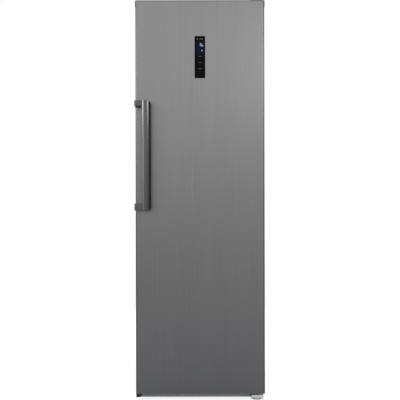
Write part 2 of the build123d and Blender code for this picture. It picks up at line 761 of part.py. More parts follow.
def crisper():
    """The right-hand vegetable drawer, stepped at the back to clear the machine compartment."""
    x_inner = DRAWER_GAP / 2
    x_outer = X_LINER - DRAWER_CLEARANCE
    y_back = Y_LINER - CRISPER_BACK_GAP

    def tub(inset, z_top):
        plan = rounded(
            (x_inner + inset, x_outer - inset),
            (Y_DRAWER + inset, y_back - inset),
            DRAWER_RADIUS - inset,
        )
        z_low = Z_FLOOR + SEAT_GAP + inset
        front = Pos((x_inner + x_outer) / 2, (z_low + z_top) / 2) * Rectangle(
            x_outer - x_inner - 2 * inset, z_top - z_low
        )
        front = fillet(front.vertices().group_by(Axis.Y)[0], LINER_CORNER + DRAWER_WALL - inset)
        tall = upright(plan, Z_FLOOR, z_top) & facing(front, Y_DRAWER, y_back)
        return tall & sideways(crisper_side(inset, z_top), x_inner, x_outer)

    shell = tub(0, CRISPER_TOP) - tub(DRAWER_WALL, CRISPER_TOP)
    return shell + drawer_pull((x_inner + x_outer) / 2, CRISPER_TOP)


def drawer_pull(x_mid, z_top):
    """The lip that fingers hook behind, moulded on the front edge of a drawer."""
    plan = rounded(
        (x_mid - PULL_WIDTH / 2, x_mid + PULL_WIDTH / 2),
        (Y_DRAWER - PULL_DEPTH, Y_DRAWER + DRAWER_WALL),
        MOULDED,
    )
    lip = upright(plan, z_top - PULL_HEIGHT, z_top)
    hollow = block(
        (x_mid - PULL_WIDTH / 2 + MOULDED, x_mid + PULL_WIDTH / 2 - MOULDED),
        (Y_DRAWER - PULL_DEPTH + MOULDED, Y_DRAWER),
        (z_top - PULL_HEIGHT, z_top - MOULDED),
    )
    return lip - hollow


def chill_drawer():
    """The shallow drawer that hangs from rails under the first shelf."""
    half = CHILL_WIDTH / 2 - CHILL_FLANGE
    z_top = FIRST_SHELF - CHILL_TOP_GAP
    z_low = z_top - CHILL_HEIGHT
    y_back = Y_DRAWER + CHILL_DEPTH
    outside = upright(rounded((-half, half), (Y_DRAWER, y_back), DRAWER_RADIUS), z_low, z_top)
    outside = fillet(outside.faces().sort_by(Axis.Z)[0].edges(), DRAWER_LIP + DRAWER_WALL)
    inner = half - DRAWER_WALL
    floor = rounded(
        (-inner, inner),
        (Y_DRAWER + DRAWER_WALL, y_back - DRAWER_WALL),
        DRAWER_RADIUS - DRAWER_WALL,
    )
    inside = upright(floor, z_low + DRAWER_WALL, z_top)
    inside = fillet(inside.faces().sort_by(Axis.Z)[0].edges(), DRAWER_LIP)
    flange = block(
        (half - DRAWER_WALL, CHILL_WIDTH / 2),
        (Y_DRAWER + DRAWER_RADIUS, y_back - DRAWER_RADIUS),
        (z_top - DRAWER_WALL, z_top),
    )
    drawer = outside - inside + [flange, mirrored(flange)]
    return drawer + drawer_pull(0, z_top)


def chill_rail():
    """The right-hand rail under the first shelf that the chill drawer's flange runs on."""
    z_carry = FIRST_SHELF - CHILL_TOP_GAP - DRAWER_WALL - SEAT_GAP - CHILL_RAIL_WALL / 2
    x_web = CHILL_WIDTH / 2 + SEAT_GAP + RUNNING_CLEARANCE + CHILL_RAIL_WALL / 2
    z_head = FIRST_SHELF - CHILL_RAIL_WALL / 2
    x_run = CHILL_WIDTH / 2 - CHILL_FLANGE + RUNNING_CLEARANCE
    path = [(x_web + CHILL_FLANGE, z_head), (x_web, z_head), (x_web, z_carry), (x_run, z_carry)]
    profile = folded(path, CHILL_RAIL_WALL / 2 + SEAT_GAP, CHILL_RAIL_WALL)
    return facing(profile, Y_DRAWER + DRAWER_RADIUS, Y_DRAWER + CHILL_DEPTH)


# Machine compartment

def carrier():
    """The sheet that carries the compressor across the bottom of the cabinet."""
    z_mid = UNDERSIDE + CARRIER_SHEET / 2
    y_mid = Y_REAR - CARRIER_SHEET / 2
    slope = math.atan2(MACHINE_HEIGHT, Y_MACHINE_HIGH - Y_MACHINE_LOW)
    y_front = Y_MACHINE_LOW + CARRIER_SHEET / math.tan(slope)
    path = [(y_front, z_mid), (y_mid, z_mid), (y_mid, UNDERSIDE + CARRIER_LIP)]
    return sideways(folded(path, CARRIER_SHEET, CARRIER_SHEET), -X_SIDE + SHEET, X_SIDE - SHEET)


def compressor_plan(grow):
    """The compressor's rounded outline seen from above, grown by the flange of its seam."""
    return Pos(COMPRESSOR_X, COMPRESSOR_Y) * RectangleRounded(
        COMPRESSOR_WIDTH + 2 * grow, COMPRESSOR_DEPTH + 2 * grow, COMPRESSOR_CORNER + grow
    )


def compressor_shell():
    """The welded steel shell of the compressor, with its seam round the middle."""
    shell = upright(compressor_plan(0), Z_COMPRESSOR, Z_TRAY)
    ends = shell.faces().sort_by(Axis.Z)
    shell = fillet(ends[0].edges() + ends[-1].edges(), COMPRESSOR_ROUND)
    z_seam = (Z_COMPRESSOR + Z_TRAY) / 2
    return shell + upright(compressor_plan(SEAM_PROUD), z_seam, z_seam + SEAM_HEIGHT)


def grommet_places():
    """The four points under the compressor where it stands on rubber."""
    return [
        (COMPRESSOR_X + side * FEET_SPACING / 2, COMPRESSOR_Y + end * GROMMET_SPACING / 2)
        for side in (-1, 1)
        for end in (-1, 1)
    ]


def compressor():
    """The compressor with the feet welded under its shell."""
    return compressor_shell() + compressor_feet()


def compressor_feet():
    """The plate under the compressor, which stands on the rubber mounts."""
    half_width = FEET_SPACING / 2 + GROMMET_RADIUS
    half_depth = GROMMET_SPACING / 2 + GROMMET_RADIUS
    plan = RectangleRounded(2 * half_width, 2 * half_depth, GROMMET_RADIUS)
    plan = Pos(COMPRESSOR_X, COMPRESSOR_Y) * plan
    return upright(plan, Z_COMPRESSOR - FEET_SHEET, Z_COMPRESSOR)


def compressor_grommets():
    """Four waisted rubber mounts between the carrier and the compressor's feet."""
    z_low = UNDERSIDE + CARRIER_SHEET
    z_waist = GROMMET_LIP + GROMMET_TAPER
    profile = Polygon(
        (0, 0),
        (GROMMET_RADIUS, 0),
        (GROMMET_RADIUS, GROMMET_LIP),
        (GROMMET_WAIST, z_waist),
        (GROMMET_WAIST, GROMMET_HEIGHT - z_waist),
        (GROMMET_RADIUS, GROMMET_HEIGHT - GROMMET_LIP),
        (GROMMET_RADIUS, GROMMET_HEIGHT),
        (0, GROMMET_HEIGHT),
        align=None,
    )
    mount = revolve(Plane.XZ * profile, Axis.Z)
    return [Pos(x, y, z_low) * mount for x, y in grommet_places()]


def compressor_bolts():
    """The bolt heads that hold the compressor's feet down through the rubber."""
    z = Z_COMPRESSOR + SCREW_HEAD / 2
    return [screw(x, y, z, SCREW_HEAD, SCREW_HEAD) for x, y in grommet_places()]


def terminal_cover():
    """The moulded box on the side of the compressor that covers its terminals."""
    x_in = COMPRESSOR_X + COMPRESSOR_WIDTH / 2 - TERMINAL_WIDTH / 2
    z_low = Z_COMPRESSOR + (COMPRESSOR_HEIGHT - TERMINAL_HEIGHT) / 2
    cover = block(
        (x_in, x_in + TERMINAL_WIDTH),
        (COMPRESSOR_Y - TERMINAL_DEPTH / 2, COMPRESSOR_Y + TERMINAL_DEPTH / 2),
        (z_low, z_low + TERMINAL_HEIGHT),
    )
    cover = fillet(cover.edges().filter_by(Axis.X), MOULDED)
    return cover - compressor_shell()


def mains_gland():
    """The ring through which a supply lead would enter the terminal cover."""
    y_face = COMPRESSOR_Y + TERMINAL_DEPTH / 2
    x_mid = COMPRESSOR_X + COMPRESSOR_WIDTH / 2 + TERMINAL_WIDTH / 4
    ring = Circle(GLAND_RADIUS) - Circle(GLAND_BORE_RADIUS)
    return facing(Pos(x_mid, Z_COMPRESSOR + COMPRESSOR_HEIGHT / 2) * ring, y_face, y_face + GLAND_LENGTH)


def drip_tray():
    """The open tray on top of the compressor, where the melt water evaporates."""
    z_rim = Z_TRAY + TRAY_HEIGHT
    centre = Pos(DRAIN_X, COMPRESSOR_Y)
    outer = centre * RectangleRounded(TRAY_WIDTH, TRAY_DEPTH, TRAY_CORNER)
    inner = centre * RectangleRounded(
        TRAY_WIDTH - 2 * MOULDED, TRAY_DEPTH - 2 * MOULDED, TRAY_CORNER - MOULDED
    )
    return upright(outer, Z_TRAY, z_rim) - upright(inner, Z_TRAY + MOULDED, z_rim)


def drain_tube():
    """The tube that leads melt water from the food space down into the tray."""
    z_low = Z_TRAY + TRAY_HEIGHT / 2
    outer = post(DRAIN_X, DRAIN_Y, z_low, Z_HUMP - LINER, DRAIN_RADIUS)
    return outer - post(DRAIN_X, DRAIN_Y, z_low, Z_HUMP, DRAIN_RADIUS - DRAIN_WALL)


def pipe(points, radius, bend):
    """A bent pipe of six flats along a line of corners, each rounded by the same bend."""
    path = FilletPolyline(*points, radius=bend)
    section = Plane(origin=path @ 0, z_dir=path % 0) * RegularPolygon(radius, 6, major_radius=False)
    return sweep(section, path=path)


def condenser_tube():
    """The serpentine tube of the condenser, one pass above another."""
    section = Rot(0, 0, 30) * RegularPolygon(TUBE_RADIUS, 6, major_radius=False)
    runs = []
    for index in range(TUBE_PASSES):
        z = Z_CONDENSER_LOW + index * TUBE_PITCH
        run = Plane.YZ.offset(-TUBE_HALF_RUN) * Pos(Y_TUBE, z) * section
        runs.append(extrude(run, amount=2 * TUBE_HALF_RUN))
        if index + 1 < TUBE_PASSES:
            side = 1 if index % 2 == 0 else -1
            start = Plane.YZ.offset(side * TUBE_HALF_RUN) * Pos(Y_TUBE, z) * section
            centre = (side * TUBE_HALF_RUN, Y_TUBE, z + TUBE_PITCH / 2)
            runs.append(revolve(start, Axis(centre, (0, -side, 0)), 180))
    return runs[0] + runs[1:]


def condenser_wires():
    """The straight wires spot-welded across both faces of the serpentine."""
    z_mid = (Z_CONDENSER_LOW + Z_CONDENSER_TOP) / 2
    rod = wire(WIRE_RADIUS, Z_CONDENSER_TOP - Z_CONDENSER_LOW + 2 * WIRE_OVERHANG)
    wires = []
    for face in (-1, 1):
        for index in range(WIRE_COUNT):
            wires.append(Pos(wire_x(index), Y_TUBE + face * (TUBE_RADIUS + WIRE_RADIUS), z_mid) * rod)
    return wires


def wire_x(index):
    """How far to the right a condenser wire stands, or a gap with a half index."""
    pitch = 2 * (TUBE_HALF_RUN - STANDOFF_WIDTH) / (WIRE_COUNT - 1)
    return (index - (WIRE_COUNT - 1) / 2) * pitch


def condenser_standoffs():
    """The four moulded posts that hold the condenser off the back."""
    posts = []
    for index in (STANDOFF_WIRE, WIRE_COUNT - 1 - STANDOFF_WIRE):
        for tube in (1, TUBE_PASSES - 2):
            x = wire_x(index)
            z = Z_CONDENSER_LOW + tube * TUBE_PITCH
            profile = Pos(x, z) * Rectangle(STANDOFF_WIDTH, STANDOFF_HEIGHT)
            posts.append(facing(profile, Y_REAR, Y_TUBE - TUBE_RADIUS))
    return posts


def wall_spacers():
    """The two tapered spacers at the top of the back that keep the air gap to the wall."""
    spacers = []
    z = CABINET_TOP - SPACER_DROP
    for side in (-1, 1):
        x = side * (X_SIDE - SPACER_INSET)
        base = Pos(x, z) * RectangleRounded(SPACER_WIDTH, SPACER_HEIGHT, MOULDED)
        tip = Pos(x, z) * RectangleRounded(SPACER_TIP_WIDTH, SPACER_TIP_HEIGHT, MOULDED)
        ends = [Plane.XZ.offset(-Y_REAR) * base, Plane.XZ.offset(-Y_REAR - SPACER_REACH) * tip]
        spacers.append(loft(ends, ruled=True))
    return spacers


def discharge_pipe():
    """The pipe from the compressor round to the bottom of the condenser."""
    x_out = -TUBE_HALF_RUN - PIPE_OUT
    z_low = Z_COMPRESSOR + DISCHARGE_HEIGHT
    points = [
        (COMPRESSOR_X - COMPRESSOR_WIDTH / 2 + PIPE_DIP, COMPRESSOR_Y, z_low),
        (x_out, COMPRESSOR_Y, z_low),
        (x_out, Y_TUBE, z_low),
        (x_out, Y_TUBE, Z_CONDENSER_LOW),
        (-TUBE_HALF_RUN, Y_TUBE, Z_CONDENSER_LOW),
    ]
    return pipe(points, TUBE_RADIUS, PIPE_BEND) - compressor_shell()


def return_pipe():
    """The pipe from the top of the condenser down to the filter drier."""
    z_turn = Z_DRIER + DRIER_LENGTH + RETURN_TURN
    points = [
        (TUBE_HALF_RUN, Y_TUBE, Z_CONDENSER_TOP),
        (X_DRIER, Y_TUBE, Z_CONDENSER_TOP),
        (X_DRIER, Y_TUBE, z_turn),
        (X_DRIER, COMPRESSOR_Y, z_turn),
        (X_DRIER, COMPRESSOR_Y, Z_DRIER + DRIER_LENGTH),
    ]
    return pipe(points, TUBE_RADIUS, PIPE_BEND)


def refrigerant_pipes():
    """The copper lines of the machine compartment, with the drier between two of them."""
    return [discharge_pipe(), return_pipe(), filter_drier(), capillary(), suction_pipe()]


def filter_drier():
    """The copper drier in the liquid line, necked at both ends."""
    neck = DRIER_RADIUS
    profile = Polygon(
        (0, 0),
        (DRIER_NECK_RADIUS, 0),
        (DRIER_RADIUS, neck),
        (DRIER_RADIUS, DRIER_LENGTH - neck),
        (DRIER_NECK_RADIUS, DRIER_LENGTH),
        (0, DRIER_LENGTH),
        align=None,
    )
    return Pos(X_DRIER, COMPRESSOR_Y, Z_DRIER) * revolve(Plane.XZ * profile, Axis.Z)


def capillary():
    """The thin line from the drier that runs up into the insulation."""
    z_low = Z_DRIER - PIPE_BEND
    points = [
        (X_DRIER, COMPRESSOR_Y, Z_DRIER),
        (X_DRIER, COMPRESSOR_Y, z_low),
        (X_DRIER - CAPILLARY_LOOP, COMPRESSOR_Y, z_low),
        (X_DRIER - CAPILLARY_LOOP, COMPRESSOR_Y, Z_MACHINE),
    ]
    return pipe(points, CAPILLARY_RADIUS, PIPE_BEND / 2)


def suction_pipe():
    """The pipe that draws the gas back from the cold plate to the compressor."""
    z_in = Z_COMPRESSOR + SUCTION_HEIGHT
    x_in = COMPRESSOR_X - COMPRESSOR_WIDTH / 2
    y_in = COMPRESSOR_Y - PIPE_BEND
    points = [
        (x_in + PIPE_DIP, y_in, z_in),
        (x_in - SUCTION_OUT, y_in, z_in),
        (x_in - SUCTION_OUT, y_in, Z_MACHINE),
    ]
    return pipe(points, SUCTION_RADIUS, PIPE_BEND) - compressor_shell()


# What the cabinet stands on

def foot_plate(y_front, pin=False):
    """The right-hand bracket under the cabinet, whose tongue carries a foot."""
    x_out = X_SIDE - PLATE_MARGIN
    z_plate = UNDERSIDE - FOOT_PLATE / 2
    path = [(Y_DOOR + FOOT_PLATE_END, z_plate), (Y_CABINET + KICK_OVERLAP + SEAT_GAP, z_plate)]
    if pin:
        y_joggle = Y_CABINET + KICK_OVERLAP - TONGUE_DROP
        path = [path[0], (y_joggle + TONGUE_DROP, z_plate), (y_joggle, z_plate - TONGUE_DROP)]
        path.append((y_front, z_plate - TONGUE_DROP))
        profile = folded(path, FOOT_PLATE / 2 + SEAT_GAP, FOOT_PLATE)
    else:
        profile = trace(Line(*path), line_width=FOOT_PLATE)
    return sideways(profile, x_out - FOOT_PLATE_WIDTH, x_out)


def hinge_bracket():
    """The plated bracket round the right foot, stepped down below the door and folded down at its rim."""
    y_front = Y_DOOR + TONGUE_FRONT
    x = (X_SIDE - PLATE_MARGIN - FOOT_PLATE_WIDTH, X_SIDE - PLATE_MARGIN)
    x_in = (x[0] + SKIRT_WALL, x[1] - SKIRT_WALL)
    y_back = Y_CABINET + KICK_OVERLAP - TONGUE_DROP
    z_tongue = UNDERSIDE - FOOT_PLATE - TONGUE_DROP
    skirt = block(x, (y_front, y_back), (SKIRT_FLOOR_GAP, z_tongue))
    skirt -= block(x_in, (y_front + SKIRT_WALL, y_back), (SKIRT_FLOOR_GAP, z_tongue))
    skirt -= block(x_in, (y_front, y_back), (SKIRT_FLOOR_GAP, z_tongue - TONGUE_LIP))
    plate = foot_plate(y_front, pin=True) + skirt
    corners = plate.edges().filter_by(Axis.Z).group_by(Axis.Y)[0].sort_by(Axis.X)
    plate = fillet([corners[0], corners[-1]], TONGUE_CORNER)
    plate -= post(HINGE_X, HINGE_Y, 0, UNDERSIDE, BOTTOM_PIN_RADIUS)
    return plate - post(*foot_place(RIGHT_FOOT_SETBACK), 0, UNDERSIDE, FOOT_STEM_RADIUS + RUNNING_GAP)


def left_foot_bracket():
    """The flat bracket under the left of the cabinet that holds the other foot."""
    plate = foot_plate(0)
    x, y = foot_place(LEFT_FOOT_SETBACK)
    return mirrored(plate - post(x, y, 0, UNDERSIDE, FOOT_STEM_RADIUS + RUNNING_GAP))


def foot_place(setback):
    """Where a right-hand foot stands, so far behind the front of the door."""
    return X_SIDE - FOOT_INSET, Y_DOOR + setback


def levelling_foot(setback, z_plate_low):
    """A levelling foot: a broad disc, a collar below its bracket and the stem through it."""
    profile = Polygon(
        (0, 0),
        (FOOT_RADIUS - FOOT_RIM / 2, 0),
        (FOOT_RADIUS, FOOT_RIM / 2),
        (FOOT_RADIUS, FOOT_HEIGHT - FOOT_RIM),
        (FOOT_RADIUS - FOOT_RIM, FOOT_HEIGHT),
        (FOOT_STEM_RADIUS + FOOT_RIM, FOOT_HEIGHT),
        (FOOT_STEM_RADIUS + FOOT_RIM, z_plate_low - SEAT_GAP),
        (FOOT_STEM_RADIUS, z_plate_low - SEAT_GAP),
        (FOOT_STEM_RADIUS, z_plate_low + FOOT_PLATE - SEAT_GAP),
        (0, z_plate_low + FOOT_PLATE - SEAT_GAP),
        align=None,
    )
    x, y = foot_place(setback)
    return Pos(x, y, 0) * revolve(Plane.XZ * profile, Axis.Z)


def roller():
    """The right-hand rear roller, bored for its axle."""
    profile = Polygon(
        (ROLLER_AXLE_RADIUS + RUNNING_GAP, -ROLLER_WIDTH / 2),
        (ROLLER_RADIUS - MOULDED, -ROLLER_WIDTH / 2),
        (ROLLER_RADIUS, -ROLLER_WIDTH / 2 + MOULDED),
        (ROLLER_RADIUS, ROLLER_WIDTH / 2 - MOULDED),
        (ROLLER_RADIUS - MOULDED, ROLLER_WIDTH / 2),
        (ROLLER_AXLE_RADIUS + RUNNING_GAP, ROLLER_WIDTH / 2),
        align=None,
    )
    return Pos(ROLLER_X, ROLLER_Y, ROLLER_RADIUS) * Rot(0, 90, 0) * revolve(Plane.XZ * profile, Axis.Z)


def roller_bracket():
    """The right-hand channel under the compressor carrier that holds a roller."""
    half = ROLLER_WIDTH / 2 + ROLLER_SIDE_GAP + ROLLER_CHEEK / 2
    z_top = UNDERSIDE - ROLLER_CHEEK / 2
    z_low = ROLLER_RADIUS - 2 * ROLLER_AXLE_RADIUS
    path = [(-half, z_low), (-half, z_top), (half, z_top), (half, z_low)]
    channel = facing(
        Pos(ROLLER_X, 0) * folded(path, ROLLER_CHEEK, ROLLER_CHEEK),
        ROLLER_Y - ROLLER_RADIUS / 2,
        ROLLER_Y + ROLLER_RADIUS / 2,
    )
    return channel - roller_axle()


def roller_axle():
    """The right-hand roller's axle, riveted through both cheeks of its channel."""
    length = ROLLER_WIDTH + 2 * (ROLLER_SIDE_GAP + ROLLER_CHEEK)
    return Pos(ROLLER_X, ROLLER_Y, ROLLER_RADIUS) * Rot(0, 90, 0) * Cylinder(ROLLER_AXLE_RADIUS, length)


# Upper hinge

def hinge_plate():
    """The steel plate on the cabinet's top whose end reaches over the door."""
    x_right = HINGE_X + HINGE_OVERHANG
    x = (x_right - HINGE_PLATE_WIDTH, x_right)
    y = (HINGE_Y - HINGE_OVERHANG, HINGE_Y + HINGE_PLATE_REACH)
    plate = upright(rounded(x, y, HINGE_PLATE_CORNER), CABINET_TOP, CABINET_TOP + HINGE_PLATE)
    return plate - post(HINGE_X, HINGE_Y, CABINET_TOP, CABINET_TOP + HINGE_PLATE, TOP_PIN_RADIUS)


def top_hinge_pin():
    """The upper pin, which hangs from the plate into the door."""
    z_high = CABINET_TOP + HINGE_PLATE
    return post(HINGE_X, HINGE_Y, z_high - TOP_PIN_LENGTH - HINGE_PLATE, z_high, TOP_PIN_RADIUS)


def bottom_hinge_pin():
    """The lower pin, which stands in the bracket and carries the door on its collar."""
    z_low = UNDERSIDE - FOOT_PLATE - TONGUE_DROP
    z_collar = z_low + FOOT_PLATE
    pin = post(HINGE_X, HINGE_Y, z_low, DOOR_BOTTOM + BOTTOM_PIN_LENGTH, BOTTOM_PIN_RADIUS)
    return pin + post(HINGE_X, HINGE_Y, z_collar, DOOR_BOTTOM - SEAT_GAP, PIN_COLLAR_RADIUS)


def top_hinge_cover():
    """The moulded cap over the upper hinge."""
    x_right = HINGE_X + HINGE_OVERHANG + HINGE_COVER_MARGIN
    x_left = x_right - HINGE_PLATE_WIDTH - 2 * HINGE_COVER_MARGIN
    y_front = HINGE_Y - HINGE_OVERHANG - HINGE_COVER_MARGIN
    y_back = HINGE_Y + HINGE_PLATE_REACH + HINGE_COVER_MARGIN
    z_high = CABINET_TOP + HINGE_COVER_HEIGHT
    outside = upright(rounded((x_left, x_right), (y_front, y_back), HINGE_OVERHANG), CABINET_TOP, z_high)
    outside = fillet(outside.faces().sort_by(Axis.Z)[-1].edges(), HINGE_COVER_ROUND)
    inside = rounded(
        (x_left + MOULDED, x_right - MOULDED),
        (y_front + MOULDED, y_back - MOULDED),
        HINGE_OVERHANG - MOULDED,
    )
    return outside - upright(inside, CABINET_TOP, z_high - MOULDED)


def hinge_screws():
    """The screw heads that hold the hinge plate and the two foot brackets."""
    heads = []
    z_top = CABINET_TOP + HINGE_PLATE + SCREW_HEAD / 2
    x_mid = HINGE_X + HINGE_OVERHANG - HINGE_PLATE_WIDTH / 2
    y_last = HINGE_Y + HINGE_PLATE_REACH
    for index in range(HINGE_SCREWS):
        y = y_last - HINGE_SCREW_EDGE - index * HINGE_SCREW_PITCH
        heads.append(screw(x_mid, y, z_top, SCREW_HEAD, SCREW_HEAD))
    x_plate = X_SIDE - PLATE_MARGIN - FOOT_PLATE_WIDTH + 2 * SCREW_HEAD
    z_low = UNDERSIDE - FOOT_PLATE - SCREW_HEAD / 2
    for index in range(2):
        y = Y_DOOR + FOOT_PLATE_END - FOOT_SCREW_EDGE - index * FOOT_SCREW_PITCH
        heads.append(screw(x_plate, y, z_low, SCREW_HEAD, SCREW_HEAD))
        heads.append(screw(-x_plate, y, z_low, SCREW_HEAD, SCREW_HEAD))
    return heads


# Door

def door_plan(inset, y_back):
    """The door's outline seen from above, shrunk inside its skin."""
    half = X_SIDE - inset
    outline = Rectangle(2 * half, y_back - Y_DOOR - inset)
    outline = Pos(0, (y_back + Y_DOOR + inset) / 2) * outline
    outline = fillet(outline.vertices().group_by(Axis.Y)[0], DOOR_EDGE_RADIUS - inset)
    return fillet(outline.vertices().group_by(Axis.Y)[-1], HEM_BEND - SHEET / 2)


def door_skin():
    """The brushed steel front, folded round the sides and hemmed behind."""
    x_mid = X_SIDE - SHEET / 2
    y_front = Y_DOOR + SHEET / 2
    y_hem = Y_DOOR_BACK - LINER - SHEET / 2
    path = [
        (-x_mid + DOOR_HEM, y_hem),
        (-x_mid, y_hem),
        (-x_mid, y_front),
        (x_mid, y_front),
        (x_mid, y_hem),
        (x_mid - DOOR_HEM, y_hem),
    ]
    bend = DOOR_EDGE_RADIUS - SHEET / 2
    fold = folded(path, [HEM_BEND, bend, bend, HEM_BEND], SHEET)
    skin = upright(fold, DOOR_BOTTOM, Z_DOOR_TOP - TOP_CAP_LIP)
    return skin - display_form(DISPLAY_WIDTH, DISPLAY_HEIGHT, DISPLAY_CORNER, Y_DOOR, Y_DOOR + SHEET)


def display_form(width, height, radius, y_front, y_back):
    """An upright rounded slab on the middle of the display."""
    z_mid = DISPLAY_BOTTOM + DISPLAY_HEIGHT / 2
    return facing(Pos(0, z_mid) * RectangleRounded(width, height, radius), y_front, y_back)


def display_window():
    """The black glass over the display, standing just proud of the steel."""
    y_front = Y_DOOR - DISPLAY_PROUD
    return display_form(
        DISPLAY_WIDTH - 2 * RUNNING_GAP,
        DISPLAY_HEIGHT - 2 * RUNNING_GAP,
        DISPLAY_CORNER,
        y_front,
        y_front + DISPLAY_GLASS,
    )


def display_housing_form(inset, y_front, y_back):
    """The outside of the box behind the display, or its inside with an inset."""
    margin = 2 * (DISPLAY_BOX_MARGIN - inset)
    return display_form(DISPLAY_WIDTH + margin, DISPLAY_HEIGHT + margin, DISPLAY_CORNER, y_front, y_back)


def display_housing():
    """The moulded box in the door's insulation that holds the display."""
    y_front = Y_DOOR + SHEET
    y_back = y_front + DISPLAY_BOX_DEPTH
    box = display_housing_form(0, y_front, y_back)
    return box - display_housing_form(MOULDED, y_front, y_back - MOULDED)


def control_board():
    """The circuit board on the floor of the display's box."""
    y_back = Y_DOOR + SHEET + DISPLAY_BOX_DEPTH - MOULDED
    return display_housing_form(CONTROL_BOARD_MARGIN, y_back - CONTROL_BOARD, y_back)


def bush_bore(radius, z_low, z_high):
    """A hole on the hinge's axis."""
    return post(HINGE_X, HINGE_Y, z_low, z_high, radius)


def door_top_cap():
    """The dark moulding that closes the door's top and wraps its corners."""
    z_lip = Z_DOOR_TOP - TOP_CAP_LIP
    plan = door_plan(0, Y_DOOR_BACK)
    skirt_plan = door_plan(SHEET, Y_DOOR_BACK - LINER - SHEET)
    core_plan = door_plan(SHEET + CAP_SKIRT_WALL, Y_DOOR_BACK - LINER - SHEET - CAP_SKIRT_WALL)
    cap = upright(plan, z_lip, Z_DOOR_TOP)
    cap += upright(skirt_plan - core_plan, z_lip - CAP_SKIRT, z_lip)
    ear = block(
        (X_SIDE, X_SIDE + CAP_EAR_PROUD),
        (Y_DOOR + DOOR_EDGE_RADIUS, Y_DOOR_BACK - LINER - SHEET),
        (Z_DOOR_TOP - CAP_EAR_DROP, Z_DOOR_TOP),
    )
    ear = fillet(ear.faces().sort_by(Axis.X)[-1].edges(), CAP_EAR_ROUND)
    cap += [ear, mirrored(ear)]
    return cap - bush_bore(TOP_PIN_RADIUS + RUNNING_GAP + BUSH_WALL, z_lip - CAP_SKIRT, Z_DOOR_TOP)


def door_bottom_cap():
    """The dark moulding inside the door's foot, with a stop lug at the far corner."""
    skirt_plan = door_plan(SHEET, Y_DOOR_BACK - LINER - SHEET)
    core_plan = door_plan(SHEET + CAP_SKIRT_WALL, Y_DOOR_BACK - LINER - SHEET - CAP_SKIRT_WALL)
    z_plate = DOOR_BOTTOM + TOP_CAP_LIP
    cap = upright(skirt_plan, DOOR_BOTTOM + MOULDED, z_plate)
    cap += upright(skirt_plan - core_plan, z_plate, z_plate + CAP_SKIRT)
    lug = Polygon(
        (-X_SIDE + SHEET, DOOR_BOTTOM + MOULDED),
        (-X_SIDE + SHEET, DOOR_BOTTOM - LUG_DROP),
        (-X_SIDE + LUG_WIDTH - LUG_SLANT, DOOR_BOTTOM - LUG_DROP),
        (-X_SIDE + LUG_WIDTH, DOOR_BOTTOM + MOULDED),
        align=None,
    )
    y_front = Y_DOOR + DOOR_EDGE_RADIUS
    cap += facing(lug, y_front, y_front + LUG_DEPTH)
    return cap - bush_bore(BOTTOM_PIN_RADIUS + RUNNING_GAP + BUSH_WALL, DOOR_BOTTOM, z_plate + CAP_SKIRT)


def hinge_bushes():
    """The two flangeless bushes in the door that turn on the hinge pins."""
    z_top = Z_DOOR_TOP
    upper = bush_bore(TOP_PIN_RADIUS + RUNNING_GAP + BUSH_WALL, z_top - BUSH_LENGTH, z_top)
    upper -= bush_bore(TOP_PIN_RADIUS + RUNNING_GAP, z_top - TOP_PIN_LENGTH - MOULDED, z_top)
    z_low = DOOR_BOTTOM
    lower = bush_bore(BOTTOM_PIN_RADIUS + RUNNING_GAP + BUSH_WALL, z_low, z_low + BUSH_LENGTH + MOULDED)
    lower -= bush_bore(BOTTOM_PIN_RADIUS + RUNNING_GAP, z_low, z_low + BOTTOM_PIN_LENGTH + SEAT_GAP)
    return [upper, lower]


def dike_form(inset):
    """The raised frame on the inside of the door, shrunk inside its own wall."""
    x_out = X_DIKE - inset
    x_in = X_DIKE - DIKE_WIDTH + inset
    z_low = Z_DIKE_LOW + inset
    z_high = Z_DIKE_TOP - inset
    rise = DIKE_WIDTH - 2 * inset
    outer = rounded((-x_out, x_out), (z_low, z_high), DIKE_RADIUS + DIKE_WIDTH - inset)
    inner = rounded((-x_in, x_in), (z_low + rise, z_high - rise), DIKE_RADIUS + inset)
    return facing(outer - inner, Y_DOOR_BACK - LINER, Y_DOOR_BACK + DIKE_DEPTH - inset)


def bin_levels():
    """The heights of the bottoms of the door bins, with the height of each bin."""
    heights = [BOTTLE_BIN_HEIGHT] + [BIN_HEIGHT] * (BIN_COUNT - 1)
    return [(BIN_BOTTOM + index * BIN_PITCH, height) for index, height in enumerate(heights)]


def door_liner():
    """The moulded white inside of the door, with the lugs that the bins hang on."""
    half = X_SIDE - LINER_SIDE_MARGIN
    sheet = block(
        (-half, half),
        (Y_DOOR_BACK - LINER, Y_DOOR_BACK),
        (DOOR_BOTTOM + LINER_END_MARGIN, Z_DOOR_TOP - TOP_CAP_LIP),
    )
    liner = sheet + dike_form(0) - dike_form(LINER)
    lugs = []
    for level, height in bin_levels():
        z_top = level + height - BIN_RIM
        lug = block(
            (X_DIKE - DIKE_WIDTH - BIN_RIM_WIDTH, X_DIKE - DIKE_WIDTH + LINER / 2),
            (Y_BIN + BIN_RADIUS / 2, Y_DOOR_BACK + DIKE_DEPTH - LINER),
            (z_top - LUG_HEIGHT, z_top),
        )
        lugs += [lug, mirrored(lug)]
    return liner + lugs


